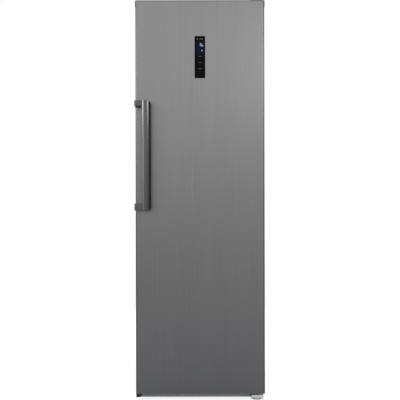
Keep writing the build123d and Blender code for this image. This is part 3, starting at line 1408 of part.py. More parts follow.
def door_foam():
    """The insulation inside the door, round the display's box and the hinge bushes."""
    solid = upright(
        door_plan(SHEET, Y_DOOR_BACK - LINER - SHEET),
        DOOR_BOTTOM + TOP_CAP_LIP + CAP_SKIRT,
        Z_DOOR_TOP - TOP_CAP_LIP - CAP_SKIRT,
    )
    solid += block(
        (-X_SIDE + SHEET + DOOR_HEM, X_SIDE - SHEET - DOOR_HEM),
        (Y_DOOR + DOOR_THICKNESS / 2, Y_DOOR_BACK - LINER),
        (DOOR_BOTTOM + TOP_CAP_LIP + CAP_SKIRT, Z_DOOR_TOP - TOP_CAP_LIP - CAP_SKIRT),
    )
    solid += dike_form(LINER)
    y_box = Y_DOOR + SHEET
    solid -= display_housing_form(0, y_box, y_box + DISPLAY_BOX_DEPTH)
    solid -= bush_bore(TOP_PIN_RADIUS + RUNNING_GAP + BUSH_WALL, Z_DOOR_TOP - BUSH_LENGTH, Z_DOOR_TOP)
    z_bush = DOOR_BOTTOM + BUSH_LENGTH + MOULDED
    return solid - bush_bore(BOTTOM_PIN_RADIUS + RUNNING_GAP + BUSH_WALL, DOOR_BOTTOM, z_bush)


def door_gasket():
    """The magnetic seal round the door, which stops just short of the cabinet."""
    x_out = X_SIDE - GASKET_MARGIN
    x_in = x_out - GASKET_WIDTH
    z_low = DOOR_BOTTOM + GASKET_MARGIN
    z_high = Z_DOOR_TOP - GASKET_MARGIN
    outer = rounded((-x_out, x_out), (z_low, z_high), GASKET_RADIUS)
    inner = (z_low + GASKET_WIDTH, z_high - GASKET_WIDTH)
    inner = rounded((-x_in, x_in), inner, GASKET_INNER_RADIUS)
    neck = GASKET_NECK_INSET
    ring = facing(outer - inner, Y_DOOR_BACK + GASKET_GAP / 2, Y_CABINET - SEAT_GAP)
    outer_neck = rounded((-x_out + neck, x_out - neck), (z_low + neck, z_high - neck), GASKET_RADIUS - neck)
    inner_neck = rounded(
        (-x_in - neck, x_in + neck),
        (z_low + GASKET_WIDTH - neck, z_high - GASKET_WIDTH + neck),
        GASKET_INNER_RADIUS,
    )
    return ring + facing(outer_neck - inner_neck, Y_DOOR_BACK, Y_DOOR_BACK + GASKET_GAP / 2)


def door_bin(level, height):
    """A clear bin whose rim hangs on the lugs at both sides of the door."""
    half_rim = X_DIKE - DIKE_WIDTH - BIN_SIDE_GAP
    half = half_rim - BIN_RIM_WIDTH
    y_back = Y_BIN + BIN_DEPTH
    outside = upright(rounded((-half, half), (Y_BIN, y_back), BIN_RADIUS), level, level + height)
    outside = fillet(outside.faces().sort_by(Axis.Z)[0].edges(), BIN_FOOT_ROUND)
    inner = half - BIN_WALL
    inside = rounded((-inner, inner), (Y_BIN + BIN_WALL, y_back - BIN_WALL), BIN_RADIUS - BIN_WALL)
    rim = rounded((-half_rim, half_rim), (Y_BIN, Y_BIN + DIKE_DEPTH), BIN_RIM)
    body = outside + upright(rim, level + height - BIN_RIM, level + height)
    return body - upright(inside, level + BIN_WALL, level + height)


# Handle

def handle_bar():
    """The long bar with its crowned front, fixed to the backs of its brackets."""
    profile = Pos(HANDLE_X, Y_HANDLE + HANDLE_BAR_DEPTH / 2) * Rectangle(HANDLE_BAR_WIDTH, HANDLE_BAR_DEPTH)
    radius = ((HANDLE_BAR_WIDTH / 2) ** 2 + HANDLE_BAR_CROWN**2) / (2 * HANDLE_BAR_CROWN)
    profile = profile & Pos(HANDLE_X, Y_HANDLE + radius) * Circle(radius)
    return upright(profile, HANDLE_BAR_BOTTOM, HANDLE_BAR_TOP)


def handle_grip():
    """The soft strip along the inner side of the bar, rounded at both ends."""
    x_bar = HANDLE_X + HANDLE_BAR_WIDTH / 2
    z = (HANDLE_BAR_BOTTOM + GRIP_END_GAP, HANDLE_BAR_TOP - GRIP_END_GAP)
    y = (Y_HANDLE + GRIP_SETBACK, Y_HANDLE + GRIP_SETBACK + GRIP_DEPTH)
    strip = facing(rounded((x_bar - GRIP_WIDTH, x_bar + GRIP_WIDTH), z, GRIP_CORNER), *y)
    return strip & block((x_bar, x_bar + GRIP_WIDTH), y, z)


def handle_bracket(z_low):
    """A cast bracket that stands on the door's face, wraps its edge and holds the bar's back."""
    x_side = -X_SIDE
    x_out = x_side - BRACKET_SIDE_WALL
    x_left = HANDLE_X - HANDLE_BAR_WIDTH / 2
    x_right = HANDLE_X + HANDLE_BAR_WIDTH / 2 - BRACKET_LEDGE
    y_bar = Y_HANDLE + HANDLE_BAR_DEPTH
    y_front = Y_HANDLE + BRACKET_LEDGE
    y_end = Y_DOOR + BRACKET_SIDE_REACH
    z_high = z_low + BRACKET_HEIGHT
    plan = Polygon(
        (x_out, y_end),
        (x_side, y_end),
        (x_side, Y_DOOR),
        (x_right, Y_DOOR),
        (x_right, y_bar),
        (x_left, y_bar),
        (x_left, y_front),
        (x_out, y_front),
        align=None,
    )
    plan = fillet(plan.vertices().sort_by_distance((x_out, y_front))[0], BRACKET_RADIUS)
    front = Pos((x_out + x_right) / 2, (z_low + z_high) / 2) * Rectangle(x_right - x_out, BRACKET_HEIGHT)
    front = fillet(front.vertices().group_by(Axis.X)[0], BRACKET_CORNER)
    bracket = upright(plan, z_low, z_high) & facing(front, y_front, y_end)
    for z in handle_screw_heights(z_low):
        bracket -= handle_screw(z)
    return bracket


def handle_screw_heights(z_low):
    """The heights of the two screws of a handle bracket."""
    z_mid = z_low + BRACKET_HEIGHT / 2
    return [z_mid - HANDLE_SCREW_PITCH / 2, z_mid + HANDLE_SCREW_PITCH / 2]


def handle_screw(z):
    """A screw sunk into the side of a handle bracket."""
    y = Y_DOOR + BRACKET_SIDE_REACH / 2
    x = -X_SIDE - BRACKET_SIDE_WALL / 2
    return screw(x, y, z, HANDLE_SCREW_RADIUS, BRACKET_SIDE_WALL - SEAT_GAP, axis="X")


def build_nodes():
    """Every named piece of the refrigerator."""
    z_tongue = UNDERSIDE - FOOT_PLATE - TONGUE_DROP
    z_lower_bracket = HANDLE_BAR_BOTTOM + BRACKET_INSET
    z_upper_bracket = HANDLE_BAR_TOP - BRACKET_INSET - BRACKET_HEIGHT
    right_side = side_panel()
    right_crisper = crisper()
    right_rail = chill_rail()
    right_channel = roller_bracket()
    right_axle = roller_axle()
    right_roller = roller()
    nodes = {
        "side_panel_left": mirrored(right_side),
        "side_panel_right": right_side,
        "top_cover": top_cover(),
        "rear_panel": rear_panel(),
        "base_panel": base_panel(),
        "cabinet_foam": cabinet_foam(),
        "inner_liner": inner_liner(),
        "evaporator_plate": evaporator_plate(),
        "kick_plate": kick_plate(),
        "air_duct_cover": air_duct_cover(),
        "fan_impeller": fan_impeller(),
        "fan_motor": fan_motor(),
        "lamp_case": lamp_case(),
        "lamp_lens": lamp_lens(),
        "crisper_left": mirrored(right_crisper),
        "crisper_right": right_crisper,
        "glass_shelves": [glass_pane(level) for level in pane_levels()],
        "shelf_trims": shelf_trims(),
        "bottle_rack": bottle_rack(shelf_levels()[BOTTLE_RACK_INDEX]),
        "chill_drawer": chill_drawer(),
        "chill_drawer_rails": [mirrored(right_rail), right_rail],
        "compressor_carrier": carrier(),
        "compressor": compressor(),
        "compressor_grommets": compressor_grommets(),
        "terminal_cover": terminal_cover(),
        "mains_gland": mains_gland(),
        "drip_tray": drip_tray(),
        "drain_tube": drain_tube(),
        "condenser_tube": condenser_tube(),
        "condenser_wires": condenser_wires(),
        "condenser_standoffs": condenser_standoffs(),
        "wall_spacers": wall_spacers(),
        "refrigerant_pipes": refrigerant_pipes(),
        "left_foot_bracket": left_foot_bracket(),
        "bottom_hinge_bracket": hinge_bracket(),
        "foot_left": mirrored(levelling_foot(LEFT_FOOT_SETBACK, UNDERSIDE - FOOT_PLATE)),
        "foot_right": levelling_foot(RIGHT_FOOT_SETBACK, z_tongue),
        "roller_brackets": [mirrored(right_channel), right_channel],
        "roller_axles": [mirrored(right_axle), right_axle],
        "roller_left": mirrored(right_roller),
        "roller_right": right_roller,
        "top_hinge_plate": hinge_plate(),
        "hinge_pins": [bottom_hinge_pin(), top_hinge_pin()],
        "top_hinge_cover": top_hinge_cover(),
        "bracket_screws": hinge_screws() + compressor_bolts(),
        "door_skin": door_skin(),
        "door_top_cap": door_top_cap(),
        "door_bottom_cap": door_bottom_cap(),
        "door_foam": door_foam(),
        "door_liner": door_liner(),
        "door_gasket": door_gasket(),
        "hinge_bushes": hinge_bushes(),
        "bottle_bin": door_bin(*bin_levels()[0]),
        "door_bins": [door_bin(level, height) for level, height in bin_levels()[1:]],
        "display_window": display_window(),
        "display_housing": display_housing(),
        "control_board": control_board(),
        "handle_bar": [handle_bar(), handle_grip()],
        "handle_brackets": [handle_bracket(z_lower_bracket), handle_bracket(z_upper_bracket)],
        "handle_screws": [
            handle_screw(z)
            for z_low in (z_lower_bracket, z_upper_bracket)
            for z in handle_screw_heights(z_low)
        ],
    }
    return nodes


def main():
    """Writes one file for each named piece."""
    os.makedirs("parts", exist_ok=True)
    for name, shape in build_nodes().items():
        if isinstance(shape, list):
            shape = Compound(children=shape)
        shape.label = name
        export_step(shape, os.path.join("parts", name + ".step"))


main()
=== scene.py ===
import logging
import math
from dataclasses import dataclass, field
from enum import Enum
from typing import ClassVar

import bmesh
import bpy
from mathutils import Matrix, Vector


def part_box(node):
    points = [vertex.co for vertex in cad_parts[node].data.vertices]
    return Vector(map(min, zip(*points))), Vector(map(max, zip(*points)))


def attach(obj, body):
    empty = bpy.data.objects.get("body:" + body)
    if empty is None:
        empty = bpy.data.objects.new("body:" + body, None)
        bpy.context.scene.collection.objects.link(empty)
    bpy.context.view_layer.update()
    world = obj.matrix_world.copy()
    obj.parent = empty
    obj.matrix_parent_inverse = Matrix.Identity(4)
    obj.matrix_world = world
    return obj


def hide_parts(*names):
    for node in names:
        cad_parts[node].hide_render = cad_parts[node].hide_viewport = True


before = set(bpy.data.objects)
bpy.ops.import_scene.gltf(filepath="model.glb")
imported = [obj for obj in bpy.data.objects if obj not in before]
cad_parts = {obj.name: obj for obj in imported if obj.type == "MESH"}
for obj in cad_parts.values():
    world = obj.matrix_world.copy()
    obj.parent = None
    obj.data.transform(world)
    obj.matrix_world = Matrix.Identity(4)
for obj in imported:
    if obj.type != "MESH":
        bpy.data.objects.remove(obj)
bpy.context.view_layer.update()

# A tall larder refrigerator in metres: +X to the right of someone facing the door, +Z up.

Pair = tuple[float, float]
Point = tuple[float, float, float]
Colour = tuple[float, float, float]
Face = bmesh.types.BMFace
Edge = bmesh.types.BMEdge
Geometry = list[bmesh.types.BMVert | Edge | Face]
Thing = bpy.types.Object
Socket = bpy.types.NodeSocket
Source = Socket | float | Point

# A range from nothing to all, the range that holds most of a noise, and a pattern without a grain
WHOLE: Pair = (0.0, 1.0)
MIDDLE: Pair = (0.3, 0.7)
EVEN: Point = (1.0, 1.0, 1.0)

# Points nearer than SAME are one point, a straight run shorter than SHORT is left out, and edges
# run the same way where the cosine between them is over PARALLEL
SAME = 1e-6
SHORT = 1e-5
PARALLEL = 0.99
QUARTER_TURN = math.pi / 2.0

log = logging.getLogger("refrigerator")


class Axis(Enum):
    """A direction of the object's frame."""

    X = (1.0, 0.0, 0.0)
    Y = (0.0, 1.0, 0.0)
    Z = (0.0, 0.0, 1.0)

    @property
    def way(self) -> Vector:
        """The direction as a vector."""
        return Vector(self.value)


class Grain(Enum):
    """Which way a brushed surface runs, as the stretch of its pattern along X, Y and Z."""

    UPRIGHT = (1.0, 1.0, 90.0)
    ACROSS = (160.0, 1.0, 1.0)


class Reckoning(Enum):
    """What a Math node works out."""

    SIZE = "ABSOLUTE"
    PRODUCT = "MULTIPLY"
    LARGER = "MAXIMUM"


class Mixed(Enum):
    """What a Mix node mixes: its data type, its two inputs and its output."""

    NUMBERS = ("FLOAT", 2, 3, 0)
    COLOURS = ("RGBA", 6, 7, 2)


# Finishes


class Nodes:
    """A node tree that is built up one node at a time."""

    def __init__(self, tree: bpy.types.NodeTree) -> None:
        """Starts on a tree that is there."""
        self.tree = tree

    def fill(self, socket: Socket, source: Source) -> None:
        """Links an output to a socket, or sets what the socket holds.

        Args:
            socket: the input that is filled.
            source: an output, a number, a vector or a colour.
        """
        if isinstance(source, Socket):
            self.tree.links.new(source, socket)
        elif socket.type == "RGBA":
            socket.default_value = (*source, 1.0)
        else:
            socket.default_value = source

    def add(self, kind: str, *sources: Source, **named: Source) -> bpy.types.ShaderNode:
        """Adds a node and fills its inputs.

        Args:
            kind: the node's type without its "ShaderNode" prefix.
            sources: what fills its first inputs.
            named: what fills others, by the input's name.

        Returns:
            The new node.
        """
        node = self.tree.nodes.new("ShaderNode" + kind)
        for socket, source in zip(node.inputs, sources):
            self.fill(socket, source)
        for name, source in named.items():
            self.fill(node.inputs[name], source)
        return node

    def reckon(self, what: Reckoning, *numbers: Source) -> Socket:
        """Reckons with one or two numbers.

        Args:
            what: the kind of reckoning.
            numbers: one or two outputs or numbers.

        Returns:
            The result.
        """
        node = self.add("Math", *numbers)
        node.operation = what.value
        return node.outputs[0]

    def mix(self, mixed: Mixed, share: Socket, first: Source, second: Source) -> Socket:
        """Mixes two numbers or two colours.

        Args:
            mixed: which of them it mixes.
            share: how much of the second shows, from 0 to 1.
            first: what shows at 0.
            second: what shows at 1.

        Returns:
            The mixture.
        """
        kind, one, two, out = mixed.value
        node = self.add("Mix", share)
        node.data_type = kind
        self.fill(node.inputs[one], first)
        self.fill(node.inputs[two], second)
        return node.outputs[out]

    def spread(
        self, value: Socket, ends: Pair = WHOLE, span: Pair = MIDDLE, smooth: bool = False
    ) -> Socket:
        """Spreads a value over a new range.

        Args:
            value: what is spread.
            ends: the results at the start and at the end of the span.
            span: where the old range starts and ends.
            smooth: eases in and out in place of going straight.

        Returns:
            The new value, kept between the ends.
        """
        node = self.add("MapRange", value, *span, *ends)
        node.interpolation_type = "SMOOTHSTEP" if smooth else "LINEAR"
        return node.outputs["Result"]

    def shown(self) -> Socket:
        """A value of 1 where the camera sees a thing itself or through glass, and else 0."""
        path = self.add("LightPath").outputs
        return self.reckon(Reckoning.LARGER, path["Is Camera Ray"], path["Is Transmission Ray"])


class Recipe(Nodes):
    """The node tree of one material, built up a layer at a time over Object coordinates."""

    def __init__(self, name: str) -> None:
        """Starts a material with one Principled shader.

        Args:
            name: the material's name.
        """
        self.material = bpy.data.materials.new(name)
        self.material.use_nodes = True
        super().__init__(self.material.node_tree)
        self.shader = self.tree.nodes["Principled BSDF"]
        self.place = self.add("TexCoord").outputs["Object"]

    def set(self, **sources: Source) -> None:
        """Fills sockets of the shader.

        Args:
            sources: what fills each, by the socket's name in lower case with underscores.
        """
        for name, source in sources.items():
            title = name.replace("_", " ").title().replace("Ior", "IOR")
            self.fill(self.shader.inputs[title], source)

    def mapped(self, size: float, stretch: Point = EVEN, centre: Point = (0.0, 0.0, 0.0)) -> Socket:
        """Object coordinates counted in features of a given size.

        Args:
            size: the size of one feature in metres.
            stretch: how many times longer a feature is along each axis.
            centre: the point that maps to the pattern's origin.

        Returns:
            The scaled coordinates.
        """
        scale = [1.0 / (size * times) for times in stretch]
        shift = [-part * times for part, times in zip(centre, scale)]
        return self.add("Mapping", self.place, Scale=scale, Location=shift).outputs["Vector"]

    def noise(self, size: float, stretch: Point = EVEN, detail: float = 3.0) -> Socket:
        """Cloudy variation about 0.5.

        Args:
            size: the size of one feature in metres.
            stretch: how many times longer a feature is along each axis.
            detail: how many finer layers it holds.

        Returns:
            The variation.
        """
        where = self.mapped(size, stretch)
        return self.add("TexNoise", Vector=where, Scale=1.0, Detail=detail).outputs["Fac"]

    def cells(self, size: float, feature: str = "F1") -> bpy.types.NodeOutputs:
        """A pattern of cells.

        Args:
            size: the size of one cell in metres.
            feature: F1 to measure from a cell's middle, or DISTANCE_TO_EDGE.

        Returns:
            The pattern's outputs, Distance and Color among them.
        """
        node = self.add("TexVoronoi", Vector=self.mapped(size), Scale=1.0)
        node.feature = feature
        return node.outputs

    def blend(self, share: Socket, first: Colour | Socket, second: Colour | Socket) -> Socket:
        """The mixture of two colours, of which share says how much of the second shows."""
        return self.mix(Mixed.COLOURS, share, first, second)

    def far(self, where: Socket, axis: Axis) -> Socket:
        """How far a point lies from the middle along one axis."""
        return self.reckon(Reckoning.SIZE, self.add("SeparateXYZ", where).outputs[axis.name])

    def level(self) -> Socket:
        """The level direction along the surface, across an upright grain.

        Returns:
            The direction.
        """
        node = self.add("VectorMath", self.add("NewGeometry").outputs["Normal"], Axis.Z.value)
        node.operation = "CROSS_PRODUCT"
        return node.outputs[0]

    def relief(self, height: Socket, depth: float, strength: float) -> None:
        """Gives the surface a relief.

        Args:
            height: the relief's height from 0 to 1.
            depth: how many metres a height of 1 is.
            strength: how much of it shows.
        """
        node = self.add("Bump", Height=height, Distance=depth, Strength=strength)
        self.set(normal=node.outputs["Normal"])


@dataclass(frozen=True)
class Finish:
    """A surface finish with a colour that varies a little."""

    name: str
    colour: Colour
    roughness: float
    variation: float = 0.06

    def shaded(self, share: float) -> Colour:
        """The finish's colour made lighter or darker by a share."""
        return tuple(min(1.0, part * (1.0 + share)) for part in self.colour)

    def tint_by(self, recipe: Recipe, pattern: Socket) -> None:
        """Takes the colour from its darker to its lighter tone along a pattern."""
        tones = self.shaded(-self.variation), self.shaded(self.variation)
        recipe.set(base_color=recipe.blend(pattern, *tones))

    def roughen_by(
        self, recipe: Recipe, pattern: Socket, less: float, more: float, span: Pair = MIDDLE
    ) -> None:
        """Lets the roughness follow a pattern.

        Args:
            recipe: the material's recipe.
            pattern: what the roughness follows.
            less: how much smoother the surface is at the pattern's start.
            more: how much rougher it is at the pattern's end.
            span: where the pattern starts and ends.
        """
        ends = (self.roughness - less, self.roughness + more)
        recipe.set(roughness=recipe.spread(pattern, ends, span))

    def layers(self, recipe: Recipe) -> None:
        """Adds what shows over the plain colour, which each kind of finish does in its own way."""

    def material(self) -> bpy.types.Material:
        """The Blender material of this finish, made the first time it is asked for.

        Returns:
            The material.
        """
        known = bpy.data.materials.get(self.name)
        if known:
            return known
        recipe = Recipe(self.name)
        recipe.set(base_color=self.colour, roughness=self.roughness)
        self.layers(recipe)
        return recipe.material

    def dress(self, piece: Thing) -> None:
        """Gives the finish to a piece in place of what it has."""
        piece.data.materials.clear()
        piece.data.materials.append(self.material())


@dataclass(frozen=True)
class BrushedMetal(Finish):
    """Sheet or bar metal with a fine grain one way, under a thin clear film."""

    grain: Grain = Grain.UPRIGHT
    streak: float = 0.0026
    streaks_to_band: float = 9.0
    hairs_to_streak: float = 6.0
    depth: float = 0.000004
    scatter: float = 0.0

    def tones(self, recipe: Recipe) -> Socket:
        """The colour with broad bands and fine streaks along the grain.

        Args:
            recipe: the material's recipe.

        Returns:
            The colour.
        """
        stretch = self.grain.value
        bands = recipe.spread(recipe.noise(self.streak * self.streaks_to_band, stretch, 2.0))
        streaks = recipe.spread(recipe.noise(self.streak, stretch, 5.0))
        wide = recipe.blend(bands, self.shaded(-0.5 * self.variation), self.colour)
        return recipe.blend(streaks, wide, self.shaded(self.variation))

    def layers(self, recipe: Recipe) -> None:
        """Bands and streaks in the colour, and hair lines in the gloss and the relief.

        Args:
            recipe: the material's recipe.
        """
        hairs = recipe.noise(self.streak / self.hairs_to_streak, self.grain.value, 2.0)
        recipe.set(base_color=self.tones(recipe), metallic=1.0, anisotropic=self.scatter)
        recipe.set(coat_weight=0.12, coat_roughness=0.3)
        self.roughen_by(recipe, hairs, less=0.05, more=0.05)
        recipe.relief(hairs, self.depth, strength=0.5)
        if self.scatter > 0.0:
            recipe.set(tangent=recipe.level())


@dataclass(frozen=True)
class SteelWithPaintedFoldShade(BrushedMetal):
    """Brushed sheet with painted shade: its colour is darker where it is folded round the two sides of
    the door.
    """

    half_width: float = 0.2975
    fold: float = 0.008
    # How much darker the painted shade makes the folds
    fold_shade: float = 0.5

    def tones(self, recipe: Recipe) -> Socket:
        """The brushed colour with painted shade, darker from the start of each fold.

        Args:
            recipe: the material's recipe.

        Returns:
            The colour.
        """
        start = self.half_width - self.fold
        span = (start, start + 0.5 * self.fold)
        # Painted shade: the colour darkens over the folds at the door's two sides so they shine less
        folded = recipe.spread(recipe.far(recipe.place, Axis.X), span=span)
        return recipe.blend(folded, super().tones(recipe), self.shaded(-self.fold_shade))


@dataclass(frozen=True)
class PlatedMetal(Finish):
    """Plated, drawn or bare metal with a mottled film."""

    mottle: float = 0.012
    tint: Colour = (0.6, 0.6, 0.6)

    def layers(self, recipe: Recipe) -> None:
        """Patches of a second tint, scuffs in the gloss and a drawn surface.

        Args:
            recipe: the material's recipe.
        """
        patches = recipe.spread(recipe.noise(self.mottle, detail=4.0), span=(0.38, 0.66))
        recipe.set(base_color=recipe.blend(patches, self.colour, self.tint), metallic=1.0)
        self.roughen_by(recipe, recipe.noise(self.mottle / 5.0), less=0.07, more=0.1)
        recipe.relief(recipe.noise(self.mottle / 14.0), depth=0.00002, strength=0.4)


@dataclass(frozen=True)
class MouldedPlastic(Finish):
    """Injection-moulded plastic with a spark-eroded texture and faint flow marks."""

    texture: float = 0.0007
    depth: float = 0.00003
    gloss: float = 0.5
    flow: float = 0.09

    def layers(self, recipe: Recipe) -> None:
        """Flow marks in the colour, and a fine even texture in the gloss and the relief.

        Args:
            recipe: the material's recipe.
        """
        self.tint_by(recipe, recipe.noise(self.flow, (1.0, 1.0, 2.5), 2.0))
        spark = recipe.noise(self.texture, detail=2.0)
        self.roughen_by(recipe, spark, less=0.04, more=0.05)
        recipe.relief(spark, self.depth, strength=0.5)
        recipe.set(specular_ior_level=self.gloss)


@dataclass(frozen=True)
class PaintedSheet(Finish):
    """Coated sheet metal with an embossed or orange-peel surface."""

    peel: float = 0.0022
    depth: float = 0.00008
    metallic: float = 0.0
    marks: float = 0.14

    def layers(self, recipe: Recipe) -> None:
        """Soft roller marks in the colour, and the emboss of the coating.

        Args:
            recipe: the material's recipe.
        """
        peel = recipe.noise(self.peel, detail=1.0)
        self.tint_by(recipe, recipe.noise(self.marks, (1.0, 1.0, 4.0), 2.0))
        self.roughen_by(recipe, peel, less=0.05, more=0.06)
        recipe.relief(recipe.spread(peel), self.depth, strength=0.6)
        recipe.set(metallic=self.metallic)


@dataclass(frozen=True)
class SpangledSheet(Finish):
    """Galvanised sheet with its crystals of zinc."""

    spangle: float = 0.016
    skin: float = 0.004

    def layers(self, recipe: Recipe) -> None:
        """Crystals that differ a little in tone and in gloss.

        Args:
            recipe: the material's recipe.
        """
        tone = recipe.spread(recipe.cells(self.spangle)["Color"], span=WHOLE)
        self.tint_by(recipe, tone)
        self.roughen_by(recipe, tone, less=0.08, more=0.08, span=WHOLE)
        recipe.relief(recipe.noise(self.skin), depth=0.00003, strength=0.4)
        recipe.set(metallic=0.85)


@dataclass(frozen=True)
class FoamBlock(Finish):
    """Poured insulation foam with its closed cells."""

    cell: float = 0.0016
    cloud: float = 0.05

    def layers(self, recipe: Recipe) -> None:
        """Cells in relief under a cloudy colour."""
        self.tint_by(recipe, recipe.noise(self.cloud))
        recipe.relief(recipe.cells(self.cell)["Distance"], depth=0.0004, strength=0.7)


@dataclass(frozen=True)
class ClearMoulding(Finish):
    """Clear plastic or glass, with a faint flow in its gloss."""

    ior: float = 1.49
    haze: float = 0.03
    flow: float = 0.05

    def layers(self, recipe: Recipe) -> None:
        """Soft flow lines that change the gloss a little.

        Args:
            recipe: the material's recipe.
        """
        flow = recipe.noise(self.flow, (3.0, 1.0, 1.0), 2.0)
        self.roughen_by(recipe, flow, less=0.0, more=self.haze)
        recipe.relief(flow, depth=0.00006, strength=0.2)
        recipe.set(transmission_weight=1.0, ior=self.ior)


@dataclass(frozen=True)
class Rubber(Finish):
    """Soft rubber or vinyl with a dusty bloom."""

    bloom: float = 0.02
    skin: float = 0.0009

    def layers(self, recipe: Recipe) -> None:
        """A bloom in the colour and a matt skin.

        Args:
            recipe: the material's recipe.
        """
        bloom = recipe.noise(self.bloom, detail=4.0)
        self.tint_by(recipe, bloom)
        self.roughen_by(recipe, bloom, less=0.06, more=0.06)
        recipe.relief(recipe.noise(self.skin), depth=0.00004, strength=0.4)
        recipe.set(specular_ior_level=0.3)


@dataclass(frozen=True)
class DisplayGlass(Finish):
    """Black printed glass that lets the blue of a lit field through."""

    field_middle: Point = (0.0, 0.0, 1.627)
    field_half: Pair = (0.019, 0.034)
    field_edge: Pair = (0.7, 1.1)
    glow: Colour = (0.002, 0.008, 0.022)
    gloss: float = 0.045
    streak: float = 0.012
    smear: float = 0.02

    def layers(self, recipe: Recipe) -> None:
        """The lit field with soft edges, and the grease of fingers in the gloss.

        Args:
            recipe: the material's recipe.
        """
        where = recipe.mapped(1.0, centre=self.field_middle)
        sides = []
        for axis, half in zip((Axis.X, Axis.Z), self.field_half):
            span = tuple(share * half for share in self.field_edge)
            sides.append(recipe.spread(recipe.far(where, axis), (1.0, 0.0), span))
        streaks = recipe.spread(recipe.noise(self.streak), (0.6, 1.0))
        lit = recipe.reckon(Reckoning.PRODUCT, recipe.reckon(Reckoning.PRODUCT, *sides), streaks)
        recipe.set(emission_color=recipe.blend(lit, (0.0, 0.0, 0.0), self.glow))
        smears = recipe.noise(self.smear, (1.0, 1.0, 1.8))
        self.roughen_by(recipe, smears, less=0.0, more=0.08, span=(0.45, 0.7))
        recipe.set(emission_strength=1.0, specular_ior_level=self.gloss)


@dataclass(frozen=True)
class LitMark(Finish):
    """A printed or lit sign behind glass."""

    strength: float = 1.0
    patch: float = 0.008

    def layers(self, recipe: Recipe) -> None:
        """Light that is a little uneven, as from one diode behind a mask.

        Args:
            recipe: the material's recipe.
        """
        uneven = recipe.noise(self.patch, detail=1.0)
        recipe.set(emission_color=recipe.blend(uneven, self.shaded(-0.15), self.shaded(0.1)))
        recipe.set(emission_strength=self.strength, base_color=self.shaded(-0.95))
        recipe.set(specular_ior_level=0.1)


@dataclass(frozen=True)
class CircuitBoard(Finish):
    """Green solder mask over its copper."""

    track: float = 0.004

    def layers(self, recipe: Recipe) -> None:
        """Tracks as a slightly lighter net in relief.

        Args:
            recipe: the material's recipe.
        """
        edges = recipe.cells(self.track, "DISTANCE_TO_EDGE")["Distance"]
        net = recipe.spread(edges, (1.0, 0.0), (0.05, 0.12))
        recipe.set(base_color=recipe.blend(net, self.colour, self.shaded(0.9)))
        recipe.relief(net, depth=0.00006, strength=0.6)


# The door's steel carries painted shade on its side folds
STEEL = SteelWithPaintedFoldShade("brushed steel", (0.266, 0.266, 0.266), 0.36, 0.09, streak=0.0044, scatter=0.5)
HANDLE_METAL = BrushedMetal("satin handle metal", (0.125, 0.126, 0.128), 0.17, 0.05, streak=0.0012)
CAP_PLASTIC = MouldedPlastic("dark grey cap plastic", (0.115, 0.12, 0.12), 0.42)
BRACKET_CAST = MouldedPlastic("painted bracket casting", (0.085, 0.088, 0.09), 0.38, texture=0.0005)
GRIP_PLASTIC = MouldedPlastic("black grip plastic", (0.009, 0.009, 0.0095), 0.55, gloss=0.25)
SIDE_PAINT = PaintedSheet("embossed side paint", (0.27, 0.275, 0.28), 0.38, 0.03, metallic=0.35)
BACK_SHEET = SpangledSheet("galvanised back sheet", (0.42, 0.43, 0.44), 0.42, 0.14)
FOAM = FoamBlock("insulation foam", (0.72, 0.62, 0.38), 0.8, 0.08)
WHITE_PLASTIC = MouldedPlastic("white liner plastic", (0.80, 0.81, 0.81), 0.22, 0.012, texture=0.004)
GREY_PLASTIC = MouldedPlastic("grey moulded plastic", (0.36, 0.365, 0.37), 0.45, 0.05)
KICK_PLASTIC = MouldedPlastic("pale kick plate plastic", (0.62, 0.63, 0.64), 0.42, 0.04)
FOOT_PLASTIC = MouldedPlastic("pale foot plastic", (0.86, 0.87, 0.88), 0.45, 0.03)
LUG_PLASTIC = MouldedPlastic("dark bottom cap plastic", (0.028, 0.029, 0.03), 0.5, gloss=0.3)
CLEAR_PLASTIC = ClearMoulding("clear drawer plastic", (0.95, 0.97, 0.98), 0.04)
LENS_PLASTIC = LitMark("frosted lamp lens", (1.0, 0.98, 0.94), 0.5, strength=1.4)
SHELF_GLASS = ClearMoulding("shelf glass", (0.93, 0.98, 0.955), 0.01, ior=1.52, haze=0.015)
DISPLAY_GLASS = DisplayGlass("black display glass", (0.002, 0.002, 0.0023), 0.1)
CIRCUIT = CircuitBoard("circuit board", (0.01, 0.09, 0.035), 0.45)
SEAL_RUBBER = Rubber("grey door seal", (0.33, 0.34, 0.35), 0.6)
BLACK_RUBBER = Rubber("black rubber", (0.022, 0.022, 0.023), 0.7)
ZINC = PlatedMetal("zinc plate", (0.62, 0.63, 0.63), 0.32, tint=(0.50, 0.51, 0.50))
# A paler, barely metallic copy of the zinc plate: a painted highlight that stands in for strong light
# on the lower hinge bracket
ZINC_WITH_PAINTED_HIGHLIGHT = PaintedSheet(
    "zinc plate with painted highlight", (0.93, 0.94, 0.94), 0.34, 0.04, peel=0.003, metallic=0.15
)
ENAMEL = PaintedSheet("black enamel", (0.016, 0.016, 0.017), 0.32, 0.1, peel=0.0016, depth=0.00004)
COPPER = PlatedMetal("copper line", (0.80, 0.42, 0.28), 0.3, mottle=0.02, tint=(0.45, 0.22, 0.14))
CHROME = PlatedMetal("chrome wire", (0.78, 0.79, 0.80), 0.12, tint=(0.72, 0.73, 0.74))
ALUMINIUM = PlatedMetal("cold aluminium", (0.75, 0.76, 0.77), 0.38, tint=(0.68, 0.69, 0.70))
BLACK_PLASTIC = MouldedPlastic("black moulded plastic", (0.02, 0.02, 0.021), 0.48)
SILVER_TRIM = BrushedMetal(
    "silver trim strip", (0.62, 0.63, 0.64), 0.28, grain=Grain.ACROSS, streak=0.0008
)
DIGIT_LIGHT = LitMark("lit digit", (0.42, 0.55, 0.86), 0.5, strength=0.75)
DOT_LIGHT = LitMark("lit mode dot", (0.34, 0.38, 0.47), 0.5)
